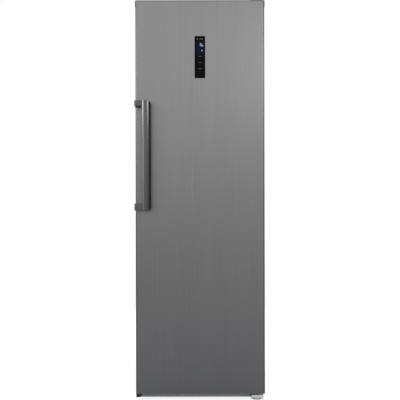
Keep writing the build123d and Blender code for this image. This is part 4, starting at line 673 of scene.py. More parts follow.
STATUS_LIGHT = LitMark("lit status mark", (0.115, 0.13, 0.125), 0.5)
KEY_LIGHT = LitMark("lit key mark", (0.042, 0.046, 0.046), 0.5)
KEY_PRINT = LitMark("printed key mark", (0.010, 0.011, 0.011), 0.5)


# Shapes


def placed(name: str, data: bpy.types.ID) -> Thing:
    """Puts a mesh, a light or a camera into the scene.

    Args:
        name: the object's name.
        data: the mesh, light or camera.

    Returns:
        The object.
    """
    made = bpy.data.objects.new(name, data)
    bpy.context.scene.collection.objects.link(made)
    return made


def across(middle: float, width: float) -> Pair:
    """The two ends of a width about its middle."""
    return middle - width / 2.0, middle + width / 2.0


def turned_to(middle: Vector, way: Vector) -> Matrix:
    """The place of something made about the Z axis that points another way."""
    return Matrix.Translation(middle) @ Axis.Z.way.rotation_difference(way).to_matrix().to_4x4()


class Shape:
    """A mesh under construction, in the object's own frame."""

    def __init__(self) -> None:
        """Starts with nothing."""
        self.mesh = bmesh.new()

    def block(self, low: Point, high: Point, corner: float, axis: Axis = Axis.Y) -> None:
        """Adds a block with its edges along one axis rounded.

        Args:
            low: its lowest corner.
            high: its highest corner.
            corner: the radius of the rounded edges.
            axis: the axis that the rounded edges run along.
        """
        middle = (Vector(low) + Vector(high)) / 2.0
        size = Vector(high) - Vector(low)
        place = Matrix.Translation(middle) @ Matrix.Diagonal((*size, 1.0))
        verts = bmesh.ops.create_cube(self.mesh, size=1.0, matrix=place)["verts"]
        kept = []
        for edge in {edge for vert in verts for edge in vert.link_edges}:
            way = (edge.verts[1].co - edge.verts[0].co).normalized()
            if abs(way.dot(axis.way)) > PARALLEL:
                kept.append(edge)
        self.round_edges(kept, corner, segments=6)

    def rod(self, start: Point, end: Point, radius: float, sides: int) -> None:
        """Adds a round rod between two points.

        Args:
            start: the middle of its first end.
            end: the middle of its other end.
            radius: its radius.
            sides: how many flats it has.
        """
        way = Vector(end) - Vector(start)
        bmesh.ops.create_cone(
            self.mesh,
            cap_ends=True,
            segments=sides,
            radius1=radius,
            radius2=radius,
            depth=way.length,
            matrix=turned_to((Vector(start) + Vector(end)) / 2.0, way),
        )

    def spin(
        self,
        geometry: Geometry,
        centre: Point,
        way: Vector,
        angle: float,
        steps: int,
        full: bool = False,
    ) -> Geometry:
        """Turns geometry about an axis, with what it sweeps left behind it.

        Args:
            geometry: what is turned.
            centre: a point on the axis.
            way: the axis.
            angle: how far it turns, in radians.
            steps: how many steps the turn takes.
            full: joins the end of a full turn to its start.

        Returns:
            The geometry at the far end.
        """
        return bmesh.ops.spin(
            self.mesh,
            geom=geometry,
            cent=centre,
            axis=way,
            dvec=(0.0, 0.0, 0.0),
            angle=angle,
            steps=steps,
            use_merge=full,
            use_duplicate=False,
        )["geom_last"]

    def lathe(self, profile: list[Pair], foot: Point, axis: Axis, steps: int) -> None:
        """Adds a turned form.

        Args:
            profile: radius and height of each point, from the foot up.
            foot: the point on the axis at height 0.
            axis: the axis it turns about.
            steps: how many steps make the full turn.
        """
        side = (Axis.Y if axis is Axis.X else Axis.X).way
        verts = [self.mesh.verts.new(Vector(foot) + side * r + axis.way * h) for r, h in profile]
        edges = [self.mesh.edges.new(pair) for pair in zip(verts, verts[1:])]
        self.spin(verts + edges, foot, axis.way, 4.0 * QUARTER_TURN, steps, full=True)

    def arc(self, start: Vector, middle: Vector, angle: float, steps: int) -> None:
        """Adds a level arc of points.

        Args:
            start: the first point.
            middle: the arc's centre.
            angle: how far it turns, in radians.
            steps: how many steps it takes.
        """
        self.spin([self.mesh.verts.new(start)], middle, Axis.Z.way, angle, steps)

    def pull(self, face: Face, way: Vector) -> Face:
        """Extrudes a face.

        Args:
            face: the face to extrude.
            way: how far and which way it moves.

        Returns:
            The face at the far end.
        """
        made = bmesh.ops.extrude_face_region(self.mesh, geom=[face])["geom"]
        front = next(item for item in made if isinstance(item, Face))
        bmesh.ops.translate(self.mesh, verts=front.verts[:], vec=way)
        return front

    def turn(self, face: Face, centre: Vector, way: Vector, angle: float, steps: int) -> Face:
        """Extrudes a face round an axis and gives the one at the far end, as spin does."""
        made = self.spin([face, *face.edges, *face.verts], centre, way, angle, steps)
        return next(item for item in made if isinstance(item, Face))

    def pipe(
        self, line: list[Point], radius: float, bend: float, sides: int = 12, steps: int = 6
    ) -> None:
        """Adds a pipe along a line of corners, bent round each as on a pipe bender.

        Args:
            line: the ends and corners of its centre line.
            radius: the pipe's radius.
            bend: the radius of each bend.
            sides: how many flats the pipe has.
            steps: how many steps a quarter bend takes.
        """
        points = [Vector(point) for point in line]
        at = points[0]
        way = (points[1] - at).normalized()
        ring = bmesh.ops.create_circle(
            self.mesh, cap_ends=True, radius=radius, segments=sides, matrix=turned_to(at, way)
        )
        face = ring["verts"][0].link_faces[0]
        for corner, after in zip(points[1:], points[2:]):
            leave = (after - corner).normalized()
            angle = way.angle(leave)
            short = bend * math.tan(angle / 2.0)
            stop = corner - way * short
            if (stop - at).length > SHORT:
                face = self.pull(face, stop - at)
            hinge = way.cross(leave).normalized()
            centre = stop + hinge.cross(way) * bend
            face = self.turn(face, centre, hinge, angle, max(2, round(steps * angle / QUARTER_TURN)))
            at = corner + leave * short
            way = leave
        self.pull(face, points[-1] - at)

    def hoop(self, profile: list[Pair], low: Vector, high: Vector, radius: float) -> None:
        """Adds a section swept round a rounded rectangle that stands across Y.

        Args:
            profile: how far each point lies outside the line, and how far behind its front.
            low: the line's lower left corner, at its front.
            high: the line's upper right corner.
            radius: the radius of the line's corners.
        """
        at = Vector((low.x + radius, low.y, low.z))
        points = [at + Vector((0.0, along, -out)) for out, along in profile]
        first = self.mesh.faces.new([self.mesh.verts.new(point) for point in points])
        face = first
        spans = (high.x - low.x - 2.0 * radius, high.z - low.z - 2.0 * radius)
        way = Axis.X.way
        down_y = Vector((0.0, -1.0, 0.0))
        for side in range(4):
            face = self.pull(face, way * spans[side % 2])
            at = at + way * spans[side % 2]
            inward = Vector((-way.z, 0.0, way.x))
            face = self.turn(face, at + inward * radius, down_y, QUARTER_TURN, steps=6)
            at = at + (way + inward) * radius
            way = inward
        bmesh.ops.delete(self.mesh, geom=[face, first], context="FACES_ONLY")
        self.merge()

    def level_edges(self) -> list[Edge]:
        """The edges that run level."""
        return [edge for edge in self.mesh.edges if abs(edge.verts[0].co.z - edge.verts[1].co.z) < SAME]

    def merge(self) -> None:
        """Makes points in the same place one."""
        bmesh.ops.remove_doubles(self.mesh, verts=self.mesh.verts, dist=SAME)

    def round_edges(self, edges: list[Edge], width: float, segments: int) -> None:
        """Bevels some edges round.

        Args:
            edges: the edges to round.
            width: how far the bevel reaches from each edge.
            segments: how many steps the round has.
        """
        bmesh.ops.bevel(
            self.mesh,
            geom=edges,
            offset=width,
            offset_type="OFFSET",
            segments=segments,
            profile=0.5,
            affect="EDGES",
            clamp_overlap=True,
            material=-1,
        )

    def soften(self, width: float, angle: float, segments: int) -> None:
        """Rounds every edge that is sharper than an angle.

        Args:
            width: how far the bevel reaches from each edge.
            angle: the least turn in degrees between an edge's faces.
            segments: how many steps the round has.
        """
        least = math.radians(angle)
        shared = [edge for edge in self.mesh.edges if len(edge.link_faces) == 2]
        sharp = [edge for edge in shared if edge.calc_face_angle(0.0) > least]
        self.round_edges(sharp, width, segments)

    def finished(self, name: str, crease: float) -> bpy.types.Mesh:
        """Closes the shape into a mesh that is smooth apart from its creases.

        Args:
            name: the mesh's name.
            crease: the turn in degrees past which an edge stays sharp.

        Returns:
            The mesh.
        """
        self.merge()
        bmesh.ops.recalc_face_normals(self.mesh, faces=self.mesh.faces)
        for face in self.mesh.faces:
            face.smooth = True
        for edge in self.mesh.edges:
            edge.smooth = edge.calc_face_angle(math.pi) < math.radians(crease)
        return self.emptied(name)

    def emptied(self, name: str) -> bpy.types.Mesh:
        """Hands the shape over as a mesh and lets its own memory go.

        Args:
            name: the mesh's name.

        Returns:
            The mesh.
        """
        data = bpy.data.meshes.new(name)
        self.mesh.to_mesh(data)
        self.mesh.free()
        return data

    def join(self, other: "Shape") -> None:
        """Takes another shape in and uses it up.

        Args:
            other: the shape that is taken in.
        """
        data = other.emptied("joined")
        self.mesh.from_mesh(data)
        bpy.data.meshes.remove(data)


def corners(name: str) -> tuple[Vector, Vector]:
    """The lowest and highest corner of one CAD node at rest."""
    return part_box(name)


@dataclass
class Assembly:
    """A sub-assembly: the CAD nodes it holds, dressed, and the pieces that it adds."""

    body: ClassVar[str] = "cabinet"
    finishes: ClassVar[dict[str, Finish]] = {}
    made: list[Thing] = field(default_factory=list)

    def dress(self) -> None:
        """Gives every CAD node of the sub-assembly its finish."""
        for name, finish in self.finishes.items():
            finish.dress(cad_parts[name])

    def build(self) -> None:
        """Adds the pieces that the CAD nodes lack."""

    def keep(
        self,
        shape: Shape,
        name: str,
        finish: Finish,
        slot: str,
        *replaced: str,
        body: str = "",
        crease: float = 38.0,
    ) -> None:
        """Makes a shape a piece, dresses it and lets it ride on its body.

        Args:
            shape: the piece's shape, which is used up.
            name: the piece's name.
            finish: what its surface is.
            slot: the record's material slot that it belongs to; it is not used.
            replaced: the CAD nodes that it stands for.
            body: the body it moves with, where that isn't the sub-assembly's own.
            crease: the turn in degrees past which an edge stays sharp.
        """
        made = placed(name, shape.finished(name, crease))
        flat = made.modifiers.new("flat faces stay flat", "WEIGHTED_NORMAL")
        flat.keep_sharp = True
        finish.dress(made)
        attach(made, body or self.body)
        if replaced:
            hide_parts(*replaced)
        self.made.append(made)


# The door


@dataclass
class DoorShell(Assembly):
    """The door's skin, caps, insulation, liner and seal."""

    body = "door"
    finishes = {
        "door_skin": STEEL,
        "door_top_cap": CAP_PLASTIC,
        "door_bottom_cap": LUG_PLASTIC,
        "door_foam": FOAM,
        "door_liner": WHITE_PLASTIC,
        "hinge_bushes": GREY_PLASTIC,
    }
    seal_width: float = 0.016
    seal_corner: float = 0.012
    seal_root: float = 0.004
    fold: float = 0.0035
    fold_heights: tuple[float, ...] = (0.3, 0.42, 0.55, 0.68)
    magnet: float = 0.0028

    def build(self) -> None:
        """Makes the folded seal in place of its plain ring."""
        low, high = corners("door_gasket")
        deep = high.y - low.y
        inner, root, fold = -self.seal_width, self.seal_root, self.fold
        start, first, pinch, second = (share * deep for share in self.fold_heights)
        profile = [
            (-root, 0.0),
            (inner + root, 0.0),
            (inner + root, start),
            (inner, first),
            (inner + fold, pinch),
            (inner, second),
            (inner, deep),
            (0.0, deep),
            (0.0, deep - self.magnet),
            (-fold, pinch),
            (0.0, first),
            (-root, start),
        ]
        ring = Shape()
        ring.hoop(profile, low, high, self.seal_corner)
        self.keep(ring, "door_seal_bellows", SEAL_RUBBER, "seal_rubber", "door_gasket")


@dataclass
class DisplayPanel(Assembly):
    """The black glass in the door, with its lit digit, dot, status marks and key marks."""

    body = "door"
    finishes = {
        "display_window": DISPLAY_GLASS,
        "display_housing": GREY_PLASTIC,
        "control_board": CIRCUIT,
    }
    proud: float = 0.0001
    digit_low: Pair = (0.0005, 1.6300)
    digit_size: Pair = (0.0155, 0.0210)
    digit_waist: float = 0.42
    digit_corner: float = 0.0008
    stroke: float = 0.0034
    stem_at: float = 0.62
    stem_stroke: float = 0.00204
    stem_span: Pair = (0.12, 0.86)
    dot_middle: Pair = (0.0098, 1.6160)
    dot_size: float = 0.0064
    dot_corner: float = 0.00288
    status_height: float = 1.6690
    status_tall: float = 0.0044
    status_corner: float = 0.001
    status_marks: tuple[Pair, ...] = (
        (-0.0122, 0.0062),
        (0.0010, 0.0040),
        (0.0065, 0.0040),
        (0.0120, 0.0040),
    )
    key_middle: float = 0.0015
    key_size: Pair = (0.0190, 0.0042)
    key_corner: float = 0.3
    lit_keys: tuple[float, ...] = (1.5890, 1.5617, 1.5327)
    faint_size: Pair = (0.0190 * 2.0 / 3.0, 0.0021)
    faint_keys: tuple[float, ...] = (1.5764, 1.5479, 1.5198, 1.5023)

    def sign(self, name: str, light: Finish, bars: list[tuple[Pair, Pair]], corner: float) -> None:
        """Adds a sign of flat bars on the glass.

        Args:
            name: the piece's name.
            light: its finish.
            bars: the left and right, and the lower and upper ends of each bar.
            corner: the radius of the bars' corners.
        """
        front = corners("display_window")[0].y
        shape = Shape()
        for (left, right), (low, high) in bars:
            shape.block((left, front - self.proud, low), (right, front + self.proud, high), corner)
        self.keep(shape, name, light, "display_glass")

    def build(self) -> None:
        """Makes the digit, the dot beside it, the status row and the key marks."""
        left, low = self.digit_low
        wide, tall = self.digit_size
        waist = low + self.digit_waist * tall
        foot, head = (low + share * tall for share in self.stem_span)
        digit = [
            ((left, left + self.stroke), (waist, low + tall)),
            ((left, left + wide), across(waist, self.stroke)),
            (across(left + self.stem_at * wide, self.stem_stroke), (foot, head)),
        ]
        self.sign("display_digit", DIGIT_LIGHT, digit, self.digit_corner)
        dot = tuple(across(middle, self.dot_size) for middle in self.dot_middle)
        self.sign("display_mode_dot", DOT_LIGHT, [dot], self.dot_corner)
        rise = across(self.status_height, self.status_tall)
        status = [(across(middle, width), rise) for middle, width in self.status_marks]
        self.sign("display_status_marks", STATUS_LIGHT, status, self.status_corner)
        for name, light, (wide, tall), heights in (
            ("display_key_marks", KEY_LIGHT, self.key_size, self.lit_keys),
            ("display_faint_marks", KEY_PRINT, self.faint_size, self.faint_keys),
        ):
            keys = [(across(self.key_middle, wide), across(z, tall)) for z in heights]
            self.sign(name, light, keys, self.key_corner * tall)


@dataclass
class Handle(Assembly):
    """The long grip and the two castings that carry it round the door's left edge."""

    body = "door"
    bar_width: float = 0.0305
    bar_depth: float = 0.013
    bar_crown: float = 0.005
    bar_steps: int = 20
    bar_round: float = 0.0022
    crown_step: float = 0.01
    grip_inset: float = 0.001
    grip_setback: float = 0.006
    grip_depth: float = 0.010
    grip_end: float = 0.006
    grip_corner: float = 0.009
    grip_edge: float = 0.0012
    bracket_spans: tuple[Pair, ...] = ((0.8805, 0.9130), (1.3565, 1.3830))
    bracket_round: float = 0.012
    bracket_edge: float = 0.006
    screw_radius: float = 0.0028
    screw_pitch: float = 0.0088
    screw_proud: float = 0.0004
    socket_radius: float = 0.0015
    socket_depth: float = 0.0006

    def bracket(self, z_low: float, z_high: float) -> Shape:
        """Makes a casting that stands on the door's face, wraps its edge and holds the bar's back.

        Args:
            z_low: the height of its underside.
            z_high: the height of its top.

        Returns:
            The casting.
        """
        low, high = corners("handle_brackets")
        low.x += self.screw_proud
        bar = corners("handle_bar")[0]
        back = bar.y + self.bar_depth
        face = corners("door_skin")[0]
        radius = self.bracket_round
        casting = Shape()
        middle = Vector((low.x + radius, low.y + radius, z_low))
        casting.arc(middle - Vector((radius, 0.0, 0.0)), middle, QUARTER_TURN, steps=8)
        on_bar = [(bar.x, low.y), (bar.x, back), (high.x, back)]
        on_door = [(high.x, face.y), (face.x, face.y), (face.x, high.y), (low.x, high.y)]
        for x, y in on_bar + on_door:
            casting.mesh.verts.new((x, y, z_low))
        floor = casting.mesh.faces.new(casting.mesh.verts)
        casting.pull(floor, Vector((0.0, 0.0, z_high - z_low)))
        edges = []
        for edge in casting.level_edges():
            ends = [vert.co for vert in edge.verts]
            outside = all(abs(end.x - low.x) < SAME for end in ends)
            ahead = all(end.y < low.y + radius + SHORT and end.x < bar.x + SHORT for end in ends)
            if outside or ahead:
                edges.append(edge)
        casting.round_edges(edges, self.bracket_edge, segments=5)
        casting.merge()
        return casting

    def screw(self, shape: Shape, z: float) -> None:
        """Adds the head of a socket screw in the side of a casting.

        Args:
            shape: the mesh it goes into.
            z: the height of its middle.
        """
        radius, socket, depth = self.screw_radius, self.socket_radius, self.socket_depth
        edge = self.screw_proud / 2.0
        inside = [(0.0, depth), (socket, depth), (socket, 0.0)]
        outside = [(radius - edge, 0.0), (radius, edge), (radius, 2.0 * depth), (0.0, 2.0 * depth)]
        low, high = corners("handle_screws")
        foot = (corners("handle_brackets")[0].x, (low.y + high.y) / 2.0, z)
        shape.lathe(inside + outside, foot, Axis.X, steps=24)

    def bar(self) -> Shape:
        """Makes the bar with its rounded front.

        Returns:
            The bar.
        """
        low, high = corners("handle_bar")
        half = self.bar_width / 2.0
        radius = (half**2 + self.bar_crown**2) / (2.0 * self.bar_crown)
        middle = Vector((low.x + half, low.y + radius, low.z))
        edge = Vector((low.x, low.y + self.bar_crown, low.z))
        bar = Shape()
        bar.arc(edge, middle, 2.0 * math.asin(half / radius), self.bar_steps)
        for x in (low.x + self.bar_width, low.x):
            bar.mesh.verts.new((x, low.y + self.bar_depth, low.z))
        bar.pull(bar.mesh.faces.new(bar.mesh.verts), Vector((0.0, 0.0, high.z - low.z)))
        short = [edge for edge in bar.level_edges() if edge.calc_length() < self.crown_step]
        bar.round_edges(short, self.bar_round, segments=4)
        return bar

    def grip(self) -> Shape:
        """Makes the black grip along the inner side of the bar.

        Returns:
            The grip.
        """
        low, high = corners("handle_bar")
        right = low.x + self.bar_width
        front = low.y + self.grip_setback
        strip = Shape()
        strip.block(
            (right - self.grip_corner, front, low.z + self.grip_end),
            (high.x - self.grip_inset, front + self.grip_depth, high.z - self.grip_end),
            self.grip_corner,
        )
        bmesh.ops.bisect_plane(
            strip.mesh,
            geom=[*strip.mesh.verts, *strip.mesh.edges, *strip.mesh.faces],
            plane_co=(right, 0.0, 0.0),
            plane_no=(-1.0, 0.0, 0.0),
            clear_outer=True,
        )
        bmesh.ops.holes_fill(strip.mesh, edges=strip.mesh.edges)
        strip.soften(self.grip_edge, angle=50.0, segments=3)
        return strip

    def build(self) -> None:
        """Makes the castings with their screws, the bar and its grip."""
        castings, screws = Shape(), Shape()
        for span in self.bracket_spans:
            castings.join(self.bracket(*span))
            for z in across(sum(span) / 2.0, self.screw_pitch):
                self.screw(screws, z)
        self.keep(screws, "handle_screw_heads", ZINC, "zinc_plate", "handle_screws")
        self.keep(
            castings, "handle_castings", BRACKET_CAST, "cap_plastic", "handle_brackets", crease=50.0
        )
        self.keep(self.bar(), "handle_grip_bar", HANDLE_METAL, "handle_metal", "handle_bar")
        self.keep(self.grip(), "handle_grip_strip", GRIP_PLASTIC, "cap_plastic", "handle_bar")


@dataclass
class DoorBins(Assembly):
    """The clear bins on the door and the bright strip along each."""

    body = "door"
    finishes = {"bottle_bin": CLEAR_PLASTIC, "door_bins": CLEAR_PLASTIC}
    bottoms: tuple[float, ...] = (0.126, 0.456, 0.786, 1.116, 1.446)
    heights: tuple[float, ...] = (0.132, 0.092, 0.092, 0.092, 0.092)
    strip: float = 0.009
    thick: float = 0.0012
    end_gap: float = 0.024
    top_gap: float = 0.008
    corner: float = 0.002
    edge: float = 0.0003

    def build(self) -> None:
        """Makes a bright strip on the front of each bin."""
        high = corners("bottle_bin")[1]
        half = high.x - self.end_gap
        strips = Shape()
        for bottom, height in zip(self.bottoms, self.heights):
            z = bottom + height - self.top_gap
            strips.block((-half, high.y, z - self.strip), (half, high.y + self.thick, z), self.corner)
        strips.soften(self.edge, angle=60.0, segments=1)
        self.keep(strips, "bin_front_strips", SILVER_TRIM, "clear_plastic")


# The cabinet


@dataclass
class Cabinet(Assembly):
    """The outer sheets and the insulation, with the plugs and screws of the back."""

    finishes = {
        "side_panel_left": SIDE_PAINT,
        "side_panel_right": SIDE_PAINT,
        "top_cover": SIDE_PAINT,
        "rear_panel": BACK_SHEET,
        "base_panel": BACK_SHEET,
        "cabinet_foam": FOAM,
    }
    plug: tuple[Pair, ...] = ((0.011, 0.0), (0.009, 0.0016), (0.005, 0.0024), (0.0, 0.0025))
    plug_places: tuple[Pair, ...] = ((-0.2, 1.62), (0.2, 1.62), (-0.2, 0.86), (0.2, 0.86))
    screw: tuple[Pair, ...] = ((0.0035, 0.0), (0.0035, 0.0008), (0.0022, 0.0018), (0.0, 0.002))
    screw_inset: Pair = (0.012, 0.03)
    screw_rows: int = 7

    def build(self) -> None:
        """Makes the foam plugs and the rows of screws on the back."""
        low, high = corners("rear_panel")
        plugs, screws = Shape(), Shape()
        for x, z in self.plug_places:
            plugs.lathe(self.plug, (x, high.y, z), Axis.Y, steps=20)
        self.keep(plugs, "foam_plugs", BLACK_PLASTIC, "black_plastic")
        aside, above = self.screw_inset
        for x in (low.x + aside, high.x - aside):
            for row in range(self.screw_rows):
                z = low.z + above + row * (high.z - low.z - 2.0 * above) / (self.screw_rows - 1)
                screws.lathe(self.screw, (x, high.y, z), Axis.Y, steps=12)
        self.keep(screws, "back_screws", ZINC, "zinc_plate")


@dataclass
class FoodSpace(Assembly):
    """The liner, shelves, bottle rack, air duct, fan and lamp."""

    finishes = {
        "inner_liner": WHITE_PLASTIC,
        "evaporator_plate": ALUMINIUM,
        "air_duct_cover": WHITE_PLASTIC,
        "fan_impeller": GREY_PLASTIC,
        "fan_motor": BLACK_PLASTIC,
        "lamp_case": WHITE_PLASTIC,
        "lamp_lens": LENS_PLASTIC,
        "glass_shelves": SHELF_GLASS,
        "shelf_trims": WHITE_PLASTIC,
    }
    rack_wire: float = 0.0030
    rack_frame: float = 0.0040
    rack_inset: float = 0.0046
    rack_pitch: float = 0.024
    shelf_levels: tuple[float, ...] = (0.346, 0.490, 0.870, 1.060, 1.250, 1.440, 1.630)
    strip: float = 0.0075
    thick: float = 0.0012
    lift: float = 0.002
    end_gap: float = 0.004
    overlap: float = 0.0005
    corner: float = 0.0015

    def rack(self) -> Shape:
        """Makes the bottle rack of round wires between two rods.

        Returns:
            The rack.
        """
        low, high = corners("bottle_rack")
        z = (low.z + high.z) / 2.0
        front, rear = low.y + self.rack_inset, high.y - self.rack_inset
        rack = Shape()
        for y in (front, rear):
            rack.rod((low.x, y, z), (high.x, y, z), self.rack_frame, sides=16)
        count = round(2.0 * (high.x - self.rack_pitch) / self.rack_pitch)
        for index in range(count + 1):
            x = (index - count / 2.0) * self.rack_pitch
            rack.rod((x, front, z), (x, rear, z), self.rack_wire, sides=12)
        return rack

    def build(self) -> None:
        """Makes the bottle rack and the bright strips of the shelves."""
        self.keep(self.rack(), "bottle_rack_wires", CHROME, "chrome_wire", "bottle_rack")
        low, high = corners("shelf_trims")
        strips = Shape()
        for level in self.shelf_levels:
            foot, head = across(level + self.lift, self.strip)
            strips.block(
                (low.x + self.end_gap, low.y - self.thick, foot),
                (high.x - self.end_gap, low.y + self.overlap, head),
                self.corner,
            )
        self.keep(strips, "shelf_front_strips", SILVER_TRIM, "white_plastic")


@dataclass
class Drawers(Assembly):
    """The two vegetable drawers and the chill drawer on its rails."""

    finishes = {
        "crisper_left": CLEAR_PLASTIC,
        "crisper_right": CLEAR_PLASTIC,
        "chill_drawer": CLEAR_PLASTIC,
        "chill_drawer_rails": WHITE_PLASTIC,
    }
    end_gaps: tuple[tuple[str, float], ...] = (
        ("crisper_left", 0.02),
        ("crisper_right", 0.02),
        ("chill_drawer", 0.03),
    )
    strip: float = 0.016
    thick: float = 0.0012
    setback: float = 0.009
    top_gap: float = 0.024
    overlap: float = 0.0003
    corner: float = 0.003

    def build(self) -> None:
        """Makes a bright strip along the top of each front."""
        for name, gap in self.end_gaps:
            low, high = corners(name)
            face = low.y + self.setback
            z = high.z - self.top_gap
            strip = Shape()
            strip.block(
                (low.x + gap, face - self.thick, z - self.strip),
                (high.x - gap, face + self.overlap, z),
                self.corner,
            )
            self.keep(strip, name + "_strip", SILVER_TRIM, "clear_plastic", body=name)


# The cooling machine


@dataclass
class Condenser(Assembly):
    """The wire-on-tube condenser on the back."""

    finishes = {"condenser_standoffs": GREY_PLASTIC, "wall_spacers": GREY_PLASTIC}
    tube_radius: float = 0.0024
    passes: int = 15
    wire_radius: float = 0.0008
    wires: int = 30
    standoff_width: float = 0.010

    def build(self) -> None:
        """Makes the round serpentine and its round wires."""
        low, high = corners("condenser_tube")
        radius = self.tube_radius
        y = (low.y + high.y) / 2.0
        z_low = low.z + radius
        pitch = (high.z - low.z - 2.0 * radius) / (self.passes - 1)
        bend = pitch / 2.0
        reach = high.x - radius
        half = high.x - bend - radius
        points = [(-half, y, z_low)]
        for index in range(self.passes - 1):
            x = reach if index % 2 == 0 else -reach
            z = z_low + index * pitch
            points += [(x, y, z), (x, y, z + pitch)]
        points.append((half if self.passes % 2 else -half, y, z_low + (self.passes - 1) * pitch))
        tube, grid = Shape(), Shape()
        tube.pipe(points, radius, bend, steps=7)
        self.keep(tube, "condenser_serpentine", ENAMEL, "black_enamel", "condenser_tube")
        low, high = corners("condenser_wires")
        gap = 2.0 * (half - self.standoff_width) / (self.wires - 1)
        for side in (-1.0, 1.0):
            for index in range(self.wires):
                x = (index - (self.wires - 1) / 2.0) * gap
                y_wire = y + side * (radius + self.wire_radius)
                grid.rod((x, y_wire, low.z), (x, y_wire, high.z), self.wire_radius, sides=8)
        self.keep(grid, "condenser_grid", ENAMEL, "black_enamel", "condenser_wires")


@dataclass
class MachineCompartment(Assembly):
    """The compressor, its mounts and lines, the drip tray and the drain."""

    finishes = {
        "compressor_carrier": BACK_SHEET,
        "compressor": ENAMEL,
        "compressor_grommets": BLACK_RUBBER,
        "terminal_cover": CAP_PLASTIC,
        "mains_gland": BLACK_RUBBER,
        "drip_tray": BLACK_PLASTIC,
        "drain_tube": BLACK_PLASTIC,
    }
    discharge: tuple[Point, ...] = (
        (-0.013, 0.232, 0.1095),
        (-0.210, 0.232, 0.1095),
        (-0.210, 0.326, 0.1095),
        (-0.210, 0.326, 0.330),
        (-0.190, 0.326, 0.330),
    )
    descent: tuple[Point, ...] = (
        (0.190, 0.326, 1.450),
        (0.246, 0.326, 1.450),
        (0.246, 0.326, 0.205),
        (0.246, 0.232, 0.205),
        (0.246, 0.232, 0.165),
    )
    capillary: tuple[Point, ...] = (
        (0.246, 0.232, 0.075),
        (0.246, 0.232, 0.057),
        (0.201, 0.232, 0.057),
        (0.201, 0.232, 0.240),
    )
    suction: tuple[Point, ...] = (
        (-0.013, 0.214, 0.1395),
        (-0.069, 0.214, 0.1395),
        (-0.069, 0.214, 0.240),
    )
    line_radius: float = 0.0024
    line_bend: float = 0.018
    drier_length: float = 0.09
    drier_end: tuple[Pair, ...] = ((0.0031, 0.0), (0.0031, 0.006), (0.0054, 0.009), (0.009, 0.014))

    def build(self) -> None:
        """Makes the round bent lines with the filter drier, a drawn tube with necked ends."""
        lines = Shape()
        for line, thicker, wider in (
            (self.discharge, 1.0, 1.0),
            (self.descent, 1.0, 1.0),
            (self.capillary, 0.5, 0.5),
            (self.suction, 1.5, 1.0),
        ):
            lines.pipe(line, thicker * self.line_radius, wider * self.line_bend)
        long = self.drier_length
        middle = (self.drier_end[-1][0], long / 2.0)
        far_end = [(radius, long - height) for radius, height in reversed(self.drier_end)]
        lines.lathe([*self.drier_end, middle, *far_end], self.capillary[0], Axis.Z, steps=24)
        self.keep(lines, "refrigerant_lines", COPPER, "copper_line", "refrigerant_pipes")


@dataclass
class Undercarriage(Assembly):
    """What the refrigerator stands and rolls on, and the kick plate."""

    finishes = {
        "kick_plate": KICK_PLASTIC,
        "left_foot_bracket": ZINC,
        # The lower hinge bracket's zinc carries a painted highlight
        "bottom_hinge_bracket": ZINC_WITH_PAINTED_HIGHLIGHT,
        "hinge_pins": ZINC,
        "foot_left": FOOT_PLASTIC,
        "foot_right": FOOT_PLASTIC,
        "roller_brackets": ZINC,
        "roller_axles": ZINC,
        "roller_left": BLACK_PLASTIC,
        "roller_right": BLACK_PLASTIC,
        "bracket_screws": ZINC,
    }
    end_inset: float = 0.0002
    end_gap: float = 0.0003
    end_depth: float = 0.012
    end_corner: float = 0.0015
    end_edge: float = 0.0006

    def build(self) -> None:
        """Makes the soft end piece that closes the kick plate up to the hinge bracket."""
        low, high = corners("kick_plate")
        inset = self.end_inset
        right = corners("bottom_hinge_bracket")[0].x - self.end_gap
        end = Shape()
        end.block(
            (high.x - inset, low.y + inset, low.z + inset),
            (right, low.y + self.end_depth, high.z),
            self.end_corner,
            Axis.Z,
        )
        end.soften(self.end_edge, angle=60.0, segments=1)
        self.keep(end, "kick_plate_end", KICK_PLASTIC, "grey_plastic")


@dataclass
class TopHinge(Assembly):
    """The upper hinge's plate under its cover."""

    finishes = {"top_hinge_plate": ZINC, "top_hinge_cover": GREY_PLASTIC}


# The studio


@dataclass(frozen=True)
class Fade:
    """A brightness that changes smoothly along one axis of the surroundings."""

    axis: Axis
    span: Pair
    ends: Pair = WHOLE

    def follow(self, nodes: Nodes, way: bpy.types.NodeOutputs) -> Socket:
        """The brightness in the direction that is looked at, given its X, Y and Z."""
        return nodes.spread(way[self.axis.name], self.ends, self.span, smooth=True)


@dataclass(frozen=True)
class Softbox:
    """A soft rectangular light. Its face is as bright as white at a radiance of 1."""

    name: str
    place: Point
    size: Pair
    radiance: float

    def hang(self, target: Point) -> None:
        """Hangs the light so that it faces a target.

        Args:
            target: the point it faces.
        """
        data = bpy.data.lights.new(self.name, "AREA")
        data.shape = "RECTANGLE"
        data.size, data.size_y = self.size
        data.energy = self.radiance * math.pi * self.size[0] * self.size[1]
        made = placed(self.name, data)
        made.location = self.place
        aim = Vector(target) - Vector(self.place)
        made.rotation_euler = aim.to_track_quat("-Z", "Y").to_euler()


